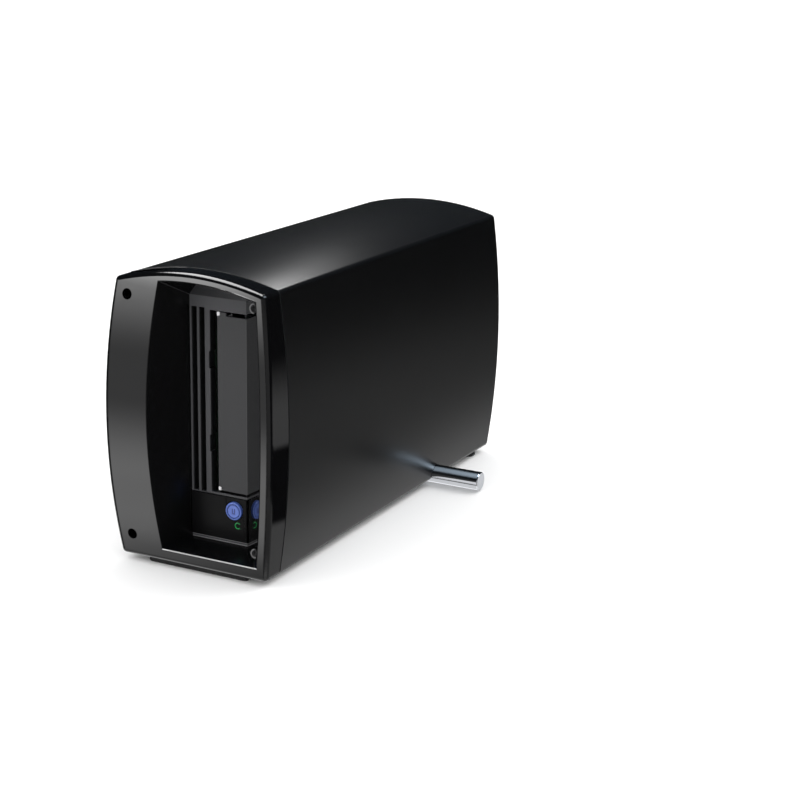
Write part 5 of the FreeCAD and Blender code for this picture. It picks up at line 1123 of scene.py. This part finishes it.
@dataclass(frozen=True)
class PanHead:
    """Pan-head screw with a cross recess and a threaded shank.

    Attributes:
        head_height: Height of the head.
        recess_depth: Depth of the cross at its middle.
        arm: Half-length of the cross, as a share of the head's radius.
        arm_width: Half-width of its arms, as a share of the head's radius.
        taper: Size of the cross at its bottom, as a share of its size at the top.
        pitch: Pitch of the thread.
        lead: Length of the shank before the thread.
        crest: Place of a thread's crest after its root, as a share of the pitch.
        point: Radius of the point, as a share of the shank's.
        root: Radius between two crests, as a share of the shank's.
        neck: Radius of the plain neck, as a share of the shank's.
        neck_length: Length of the neck.
        under: Share of the head's radius at its underside, and the height at which it is full.
        side: Height of the head's upright side, as a share of the head's height.
        crown: Shares of the head's radius over that, each with its depth below the top.
        end_slice: Depth of the slice that gives the radius of a CAD screw's end.
    """

    head_height: float = 1.8
    recess_depth: float = 1.1
    arm: float = 0.56
    arm_width: float = 0.13
    taper: float = 0.6
    pitch: float = 0.6
    lead: float = 0.5
    crest: float = 0.45
    point: float = 0.6
    root: float = 0.84
    neck: float = 0.9
    neck_length: float = 0.3
    under: tuple[float, float] = (0.96, 0.15)
    side: float = 0.45
    crown: tuple[tuple[float, float], ...] = ((0.95, 0.3), (0.84, 0.1), (0.7, 0.0))
    end_slice: float = 0.3

    def add(self, shape: Shape, corners: Sequence[Vector]) -> None:
        """Add the screw that stands where a CAD screw's corners are."""
        low = Vector([min(corner[axis] for corner in corners) for axis in range(3)])
        high = Vector([max(corner[axis] for corner in corners) for axis in range(3)])
        size = high - low
        along = max(range(3), key=lambda axis: size[axis])
        middle = (low + high) / 2
        axis = tuple(Direction)[along].vector
        reach = {}
        for sign, end in ((-1, low), (1, high)):
            near = [corner - middle for corner in corners if abs(corner[along] - end[along]) < self.end_slice]
            reach[sign] = max((arm - axis * arm.dot(axis)).length for arm in near)
        sign = 1 if reach[1] > reach[-1] else -1
        head, shank = reach[sign], reach[-sign]
        start = middle.copy()
        start[along] = (low if sign > 0 else high)[along]
        top = size[along]
        length = top - self.head_height
        profile = [(0.0, 0.0), (self.point * shank, 0.0)]
        for turn in range(int((length - 2 * self.lead) / self.pitch)):
            profile += [(self.root * shank, self.lead + turn * self.pitch),
                        (shank, self.lead + (turn + self.crest) * self.pitch)]
        profile += [(self.neck * shank, length - self.neck_length), (self.neck * shank, length)]
        profile += [(self.under[0] * head, length), (head, length + self.under[1])]
        profile += [(head, length + self.side * self.head_height)]
        profile += [(share * head, top - below) for share, below in self.crown]
        rim = shape.lathe(profile, start, axis * sign, steps=32)
        self._recess(shape, rim, start, axis * sign, head, top)

    def _recess(self, shape: Shape, rim: Sequence[bmesh.types.BMVert], start: Vector, axis: Vector,
                head: float, top: float) -> None:
        """Close the head's top round a tapered cross.

        Args:
            shape: The mesh that is added to.
            rim: Corners of the flat top.
            start: The far end of the shank.
            axis: Direction from there to the head.
            head: Radius of the head.
            top: Distance from the start to the flat top.
        """
        turn = axis.to_track_quat("Z", "Y").to_matrix()
        long, wide = self.arm * head, self.arm_width * head
        corner = [(long, -wide), (long, wide), (wide, wide)]
        rows = []
        for share, height in ((1.0, top), (self.taper, top - self.recess_depth)):
            row = []
            for quarter in range(4):
                spin = Matrix.Rotation(quarter * math.pi / 2, 3, "Z")
                for x, y in corner:
                    place = start + turn @ spin @ Vector((x * share, y * share, height))
                    row.append(shape.mesh.verts.new(place))
            rows.append(row)
        upper, lower = rows
        shape.face(lower)
        for index, vert in enumerate(upper):
            after = (index + 1) % len(upper)
            shape.face([vert, upper[after], lower[after], lower[index]])
        edges = []
        for loop in (rim, upper):
            for index, vert in enumerate(loop):
                pair = (vert, loop[(index + 1) % len(loop)])
                edges.append(shape.mesh.edges.get(pair) or shape.mesh.edges.new(pair))
        bmesh.ops.triangle_fill(shape.mesh, edges=edges, use_beauty=True)


def screws(node: str, finish: Finish) -> None:
    """Stand detailed screws in the place of a node's plain ones."""
    shape = Shape()
    cad = Shape.of_node(node)
    for corners in cad.islands():
        PanHead().add(shape, corners)
    cad.mesh.free()
    shape.piece(node + "_cross", finish, "steel", nodes=(node,), crease=28.0)


@dataclass
class Enclosure:
    """Sleeve, bezel, feet and rod.

    Attributes:
        front: Place of the front's foremost line along Y.
        mid: Height of the middle of the case.
        half: Half the height of its corners.
        sag: How far the front bows over that.
        rim_bead: Radius of the rolled edge of the opening.
        hole: Places of the two right-hand screw holes, across and up.
        collar: Outer and inner radius of the collars round them, and how far their edges are eased.
        collar_at: Place of the collars' front along Y.
        collar_depth: How far they reach back.
        sill_top: Height below which the opening's edge is its sill.
        rolled: Radius of the sleeve's rolled edges, and how far their middles lie inside the edge.
        seam_shade: Radius of the black strip that paints the seam's shade, and how far its middle lies inside
            and in front of the edge.
        funnel_corner: Radius of the bead in the funnel's upper left corner.
        face_within: Left, right, lowest and highest limits of the front plate inside its outer edge.
        face_fit: How far from the bowed front a point may lie and be on it.
        corner_from: The funnel's corner lies left of the first and above the second.
        corner_run: Places along Y between which its bead runs.
        sill_share: Radius of the light-grey bead on the sill's edge, a painted highlight, as a share of the
            rolled edge's.
        end_fit: How far from the sleeve's end an edge of it may lie.
    """

    front: float = -155.85
    mid: float = 88.3
    half: float = 84.3
    sag: float = 5.1
    rim_bead: float = 0.32
    hole: tuple[tuple[float, float], ...] = ((39.6, 18.0), (39.6, 163.2))
    collar: tuple[float, float, float] = (3.15, 2.25, 0.2)
    collar_at: float = -145.0
    collar_depth: float = 5.0
    sill_top: float = 12.8
    rolled: tuple[float, float] = (0.4, 0.26)
    seam_shade: tuple[float, float, float] = (0.6, 0.36, 0.42)
    funnel_corner: float = 0.3
    face_within: tuple[float, float, float, float] = (-30.0, 50.8, 9.0, 176.0)
    face_fit: float = 0.06
    corner_from: tuple[float, float] = (-10.0, 155.0)
    corner_run: tuple[float, float] = (-147.2, -129.5)
    sill_share: float = 1.12
    end_fit: float = 0.05

    def build(self) -> None:
        """Dress the enclosure's pieces."""
        dress("outer_shell", Finishes.SLEEVE)
        dress("front_bezel", Finishes.BEZEL)
        eased("front_foot", Finishes.RUBBER, "rubber", ease=0.3)
        eased("rear_feet", Finishes.RUBBER, "rubber", ease=0.15)
        dress("stabilizer_rod", Finishes.CHROME)
        eased("rod_clamps", Finishes.CLAMP, "clamp_plastic", ease=0.3)
        dress("inner_chassis", Finishes.SHEET)
        for node in ("bezel_screws", "rod_clamp_screws", "drive_screws", "rear_panel_screws", "fan_screws",
                     "inlet_screws"):
            screws(node, Finishes.SCREW)
        self.rim()
        self.hole_rims()
        self.rolled_edges()
        self.corner()

    def front_at(self, z: float) -> float:
        """Place along Y of the bowed front at a height."""
        radius = (self.half ** 2 + self.sag ** 2) / (2 * self.sag)
        return self.front + radius - math.sqrt(radius ** 2 - (z - self.mid) ** 2)

    def on_front(self, point: Vector) -> bool:
        """Whether a point of the bezel lies on the bowed front, inside its outer edge."""
        left, right, bottom, top = self.face_within
        near = abs(point.y - self.front_at(point.z)) < self.face_fit
        return near and left < point.x < right and bottom < point.z < top

    def rim(self) -> None:
        """Roll the edge of the opening in the bezel's face, and lay a light-grey bead on the sill's edge as a
        painted highlight.
        """
        shape = Shape()
        sill = []
        for line, closed in ridges("front_bezel", self.on_front):
            inner = [point + Vector((0.0, 0.5 * self.rim_bead, 0.0)) for point in line]
            shape.sweep(inner, self.rim_bead, closed)
            sill += [point for point in inner if point.z < self.sill_top]
        shape.piece("opening_rolled_edge", Finishes.BEZEL, "bezel")
        # Painted highlight: a light-grey bead along the sill's edge.
        edge = Shape()
        edge.sweep(sorted(sill, key=lambda point: point.x), self.sill_share * self.rim_bead)
        edge.piece("sill_painted_highlight_edge", Finishes.SILL_HIGHLIGHT, "bezel")

    def in_corner(self, point: Vector) -> bool:
        """Whether a point lies in the funnel's upper left corner, behind its rim."""
        left, above = self.corner_from
        return point.x < left and point.z > above and self.corner_run[0] < point.y < self.corner_run[1]

    def corner(self) -> None:
        """Run a bead down the funnel's upper left corner."""
        shape = Shape()
        for line, closed in ridges("front_bezel", self.in_corner):
            shape.sweep(line, self.funnel_corner, closed)
        shape.piece("funnel_corner_bead", Finishes.CORNER, "bezel")

    def hole_rims(self) -> None:
        """Light-grey collars round the screw holes that come out through the funnel's right wall: a painted
        highlight on the holes' rims.
        """
        shape = Shape()
        outer, inner, ease = self.collar
        profile = [(outer, self.collar_depth), (outer, ease), (outer - ease, 0.0), (inner + ease, 0.0),
                   (inner, ease), (inner, self.collar_depth)]
        for x, z in self.hole:
            shape.lathe(profile, Vector((x, self.collar_at, z)), Direction.DEEP.vector, 48)
        shape.piece("screw_hole_collars", Finishes.HOLE_RIM_HIGHLIGHT, "bezel")

    def inset_edge(self, end: float, inset: float, shift: float) -> tuple[list[Vector], bool]:
        """The sleeve's outline at one end, drawn in towards its middle.

        Args:
            end: The end's place along Y.
            inset: How far it is drawn in.
            shift: How far it is moved along Y.

        Returns:
            Its points, and whether they close.
        """
        low, high = span("outer_shell")
        middle = (low + high) / 2
        loops = ridges("outer_shell", lambda point: abs(point.y - end) < self.end_fit)
        outer, closed = max(loops, key=lambda loop: max(point.x for point in loop[0]))
        share = Vector((1.0 - inset / high.x, 1.0, 1.0 - 2 * inset / (high.z - low.z)))
        return [middle + (point - middle) * share + Vector((0.0, shift, 0.0)) for point in outer], closed

    def rolled_edges(self) -> None:
        """Roll the sleeve's front and rear edges, and lay a black strip in the seam as its painted shade."""
        low, high = span("outer_shell")
        radius, inset = self.rolled
        shape = Shape()
        for end, shift in ((low.y, inset), (high.y, -inset)):
            path, closed = self.inset_edge(end, inset, shift)
            shape.sweep(path, radius, closed)
        shape.piece("sleeve_rolled_edges", Finishes.SLEEVE, "shell")
        # Painted shade: a black strip along the seam's gap.
        radius, inset, ahead = self.seam_shade
        path, closed = self.inset_edge(low.y, inset, -ahead)
        seam_shade = Shape()
        seam_shade.sweep(path, radius, closed)
        seam_shade.piece("seam_shade_strip", Finishes.SEAM_SHADE, "rubber")


@dataclass
class DriveFace:
    """Faceplate, door and control panel.

    Attributes:
        lip: Radius of the two light-grey beads along the face's lower margin, painted highlights of its
            edges.
        button_ring: Share of the button's radius at which its raised ring lies, and the ring's radius.
        button_ease: Radius of the button's edges.
        edge_bead: How far the painted-highlight bead on the door's edge lies inside the edge, and its radius.
        lit_arc: Radius of the status light's arc, radius of its bead, and half its gap in radians.
        lip_at: Height of the lower bead over the face's foot, and of the upper one below the panel.
        edge_ends: How far the bead on the door's edge stops short of the door's foot and top.
        glyph_at: Middle of the sign on the eject button, across, deep and up.
        bar: Half the width and half the height of each of the sign's bars.
        bar_apart: Half the distance between them.
        bar_foot: Half the width of their foot, and how far its foot and top lie below the middle.
        sign_depth: How far the sign reaches in front of its middle and behind it.
        sign_ease: Radius of its edges.
        wire: Radius of the spring's wire.
        coil_pitch: Distance between coils, as a share of the wire's radius.
        coil_steps: Steps in one coil.
    """

    lip: float = 0.28
    button_ring: tuple[float, float] = (0.8, 0.3)
    button_ease: float = 0.35
    edge_bead: tuple[float, float] = (0.2, 0.26)
    lit_arc: tuple[float, float, float] = (1.75, 0.3, 0.75)
    lip_at: tuple[float, float] = (0.5, 0.35)
    edge_ends: tuple[float, float] = (0.4, 2.4)
    glyph_at: tuple[float, float, float] = (15.7, -130.34, 35.3)
    bar: tuple[float, float] = (0.34, 1.45)
    bar_apart: float = 0.75
    bar_foot: tuple[float, float, float] = (1.09, 1.85, 1.25)
    sign_depth: tuple[float, float] = (0.12, 0.2)
    sign_ease: float = 0.1
    wire: float = 0.12
    coil_pitch: float = 2.2
    coil_steps: int = 20

    def build(self) -> None:
        """Dress the face's pieces."""
        eased("drive_faceplate", Finishes.FACE, "face_plastic", ease=0.2)
        eased("cartridge_door", Finishes.DOOR, "door_plastic", 0.22, "door")
        dress("door_bushes", Finishes.BUSH)
        dress("door_pin", Finishes.DARK_STEEL)
        self.spring()
        eased("control_panel", Finishes.PANEL, "panel_plastic", ease=0.18)
        self.button()
        dress("status_light", Finishes.PIPE)
        self.light()
        dress("control_board", Finishes.FACE_BOARD)
        self.lips()
        self.glyph()
        self.door_edge()

    def button(self) -> None:
        """Ease the eject button's edges and raise a ring on its face."""
        low, _ = span("eject_button")
        shape = Shape.of_node("eject_button")
        middle = Vector((self.glyph_at[0], low.y, self.glyph_at[2]))
        cap = max((vert.co - middle).length for vert in shape.mesh.verts if vert.co.y < low.y + 0.1)
        share, radius = self.button_ring
        turns = [math.tau * index / 48 for index in range(48)]
        ring = [middle + Vector((math.cos(turn), 0.0, math.sin(turn))) * share * cap for turn in turns]
        shape.sweep(ring, radius, closed=True)
        shape.piece("eject_button_eased", Finishes.BUTTON, "button_plastic", "eject_key",
                    ("eject_button",), self.button_ease)

    def light(self) -> None:
        """Lay the lit arc on the front of the status light's pipe."""
        low, high = span("status_light")
        radius, wire, gap = self.lit_arc
        middle = Vector(((low.x + high.x) / 2, low.y, (low.z + high.z) / 2))
        steps = 28
        turns = [gap + (math.tau - 2 * gap) * index / steps for index in range(steps + 1)]
        arc = Shape()
        arc.sweep([middle + Vector((math.cos(turn), 0.0, math.sin(turn))) * radius for turn in turns], wire)
        arc.piece("status_light_arc", Finishes.LIGHT, "light_pipe")

    def lips(self) -> None:
        """Two fine light-grey beads along the margin under the control panel: painted highlights of its
        edges.
        """
        low, _ = span("drive_faceplate")
        panel, right = span("control_panel")
        shape = Shape()
        for z in (low.z + self.lip_at[0], panel.z - self.lip_at[1]):
            ends = [Vector((x, low.y, z)) for x in (panel.x, right.x)]
            shape.sweep(ends, self.lip)
        shape.piece("face_lip_highlight_beads", Finishes.LIP_HIGHLIGHT, "face_plastic")

    def door_edge(self) -> None:
        """Light-grey bead along the door's front edge on its hinge side: a painted highlight."""
        low, high = span("cartridge_door")
        inset, radius = self.edge_bead
        shape = Shape()
        foot, top = low.z + self.edge_ends[0], high.z - self.edge_ends[1]
        shape.sweep([Vector((high.x - inset, low.y + inset, z)) for z in (foot, top)], radius)
        shape.piece("door_edge_highlight_bead", Finishes.DOOR_EDGE_HIGHLIGHT, "door_plastic", "door")

    def glyph(self) -> None:
        """Two raised bars and their foot on the face of the eject button."""
        shape = Shape()
        middle = Vector(self.glyph_at)
        ahead, behind = self.sign_depth
        half, tall = self.bar
        wide, foot, ankle = self.bar_foot
        for x in (-self.bar_apart, self.bar_apart):
            at = middle + Vector((x, 0.0, 0.0))
            shape.block(at - Vector((half, ahead, tall)), at + Vector((half, behind, tall)), self.sign_ease)
        shape.block(middle + Vector((-wide, -ahead, -foot)), middle + Vector((wide, behind, -ankle)),
                    self.sign_ease)
        shape.piece("eject_sign", Finishes.SIGN, "button_plastic", "eject_key")

    def spring(self) -> None:
        """Wind the door's torsion spring coil by coil."""
        low, high = span("door_spring")
        middle = (low + high) / 2
        radius = (high.x - low.x) / 2 - self.wire
        height = high.z - low.z - 2 * self.wire
        count = int(height / (self.coil_pitch * self.wire)) * self.coil_steps
        path = []
        for index in range(count + 1):
            angle = math.tau * index / self.coil_steps
            rise = low.z + self.wire + height * index / count
            path.append(Vector((middle.x + radius * math.cos(angle), middle.y + radius * math.sin(angle),
                                rise)))
        shape = Shape()
        shape.sweep(path, self.wire, sides=5)
        shape.piece("door_spring_wire", Finishes.SPRING, "steel", nodes=("door_spring",))


@dataclass
class DriveInside:
    """What the drive holds behind its face."""

    def build(self) -> None:
        """Dress the inner pieces."""
        dress("drive_base", Finishes.CAST)
        dress("drive_cover", Finishes.SHEET)
        dress("deck_plate", Finishes.SHEET)
        dress("clutch_motor", Finishes.MOTOR)
        dress("takeup_motor", Finishes.MOTOR)
        dress("reel_clutch", Finishes.CLUTCH)
        dress("takeup_reel", Finishes.REEL)
        dress("roller_posts", Finishes.STEEL)
        dress("head_guides", Finishes.STEEL)
        dress("tape_head", Finishes.HEAD)
        dress("cartridge_carrier", Finishes.CARRIER)
        dress("drive_board", Finishes.BOARD)
        dress("drive_connectors", Finishes.CONNECTOR)
        for node in sorted(NODES):
            if node.startswith("guide_roller"):
                dress(node, Finishes.ROLLER)


@dataclass
class RearAndPower:
    """Rear panel, fan, power supply and ports."""

    def build(self) -> None:
        """Dress the rear's pieces."""
        dress("supply_board", Finishes.BOARD)
        dress("supply_parts", Finishes.SUPPLY)
        dress("rear_panel", Finishes.REAR)
        dress("fan_frame", Finishes.FAN)
        dress("fan_rotor", Finishes.FAN)
        eased("power_inlet", Finishes.INLET, "inlet_plastic", ease=0.3)
        dress("inlet_pins", Finishes.CONTACT)
        eased("switch_frame", Finishes.INLET, "inlet_plastic", ease=0.2)
        eased("power_rocker", Finishes.ROCKER, "rocker_plastic", 0.25, "rocker")
        dress("interface_board", Finishes.FLAT_BOARD)
        dress("board_brackets", Finishes.SHEET)
        dress("data_ports", Finishes.PORT)


def main() -> None:
    """Build the studio and dress every sub-assembly."""
    logging.basicConfig(level=logging.INFO, format="%(name)s: %(message)s")
    for part in (Studio(), Enclosure(), DriveFace(), DriveInside(), RearAndPower()):
        part.build()


if __name__ == "__main__":
    main()
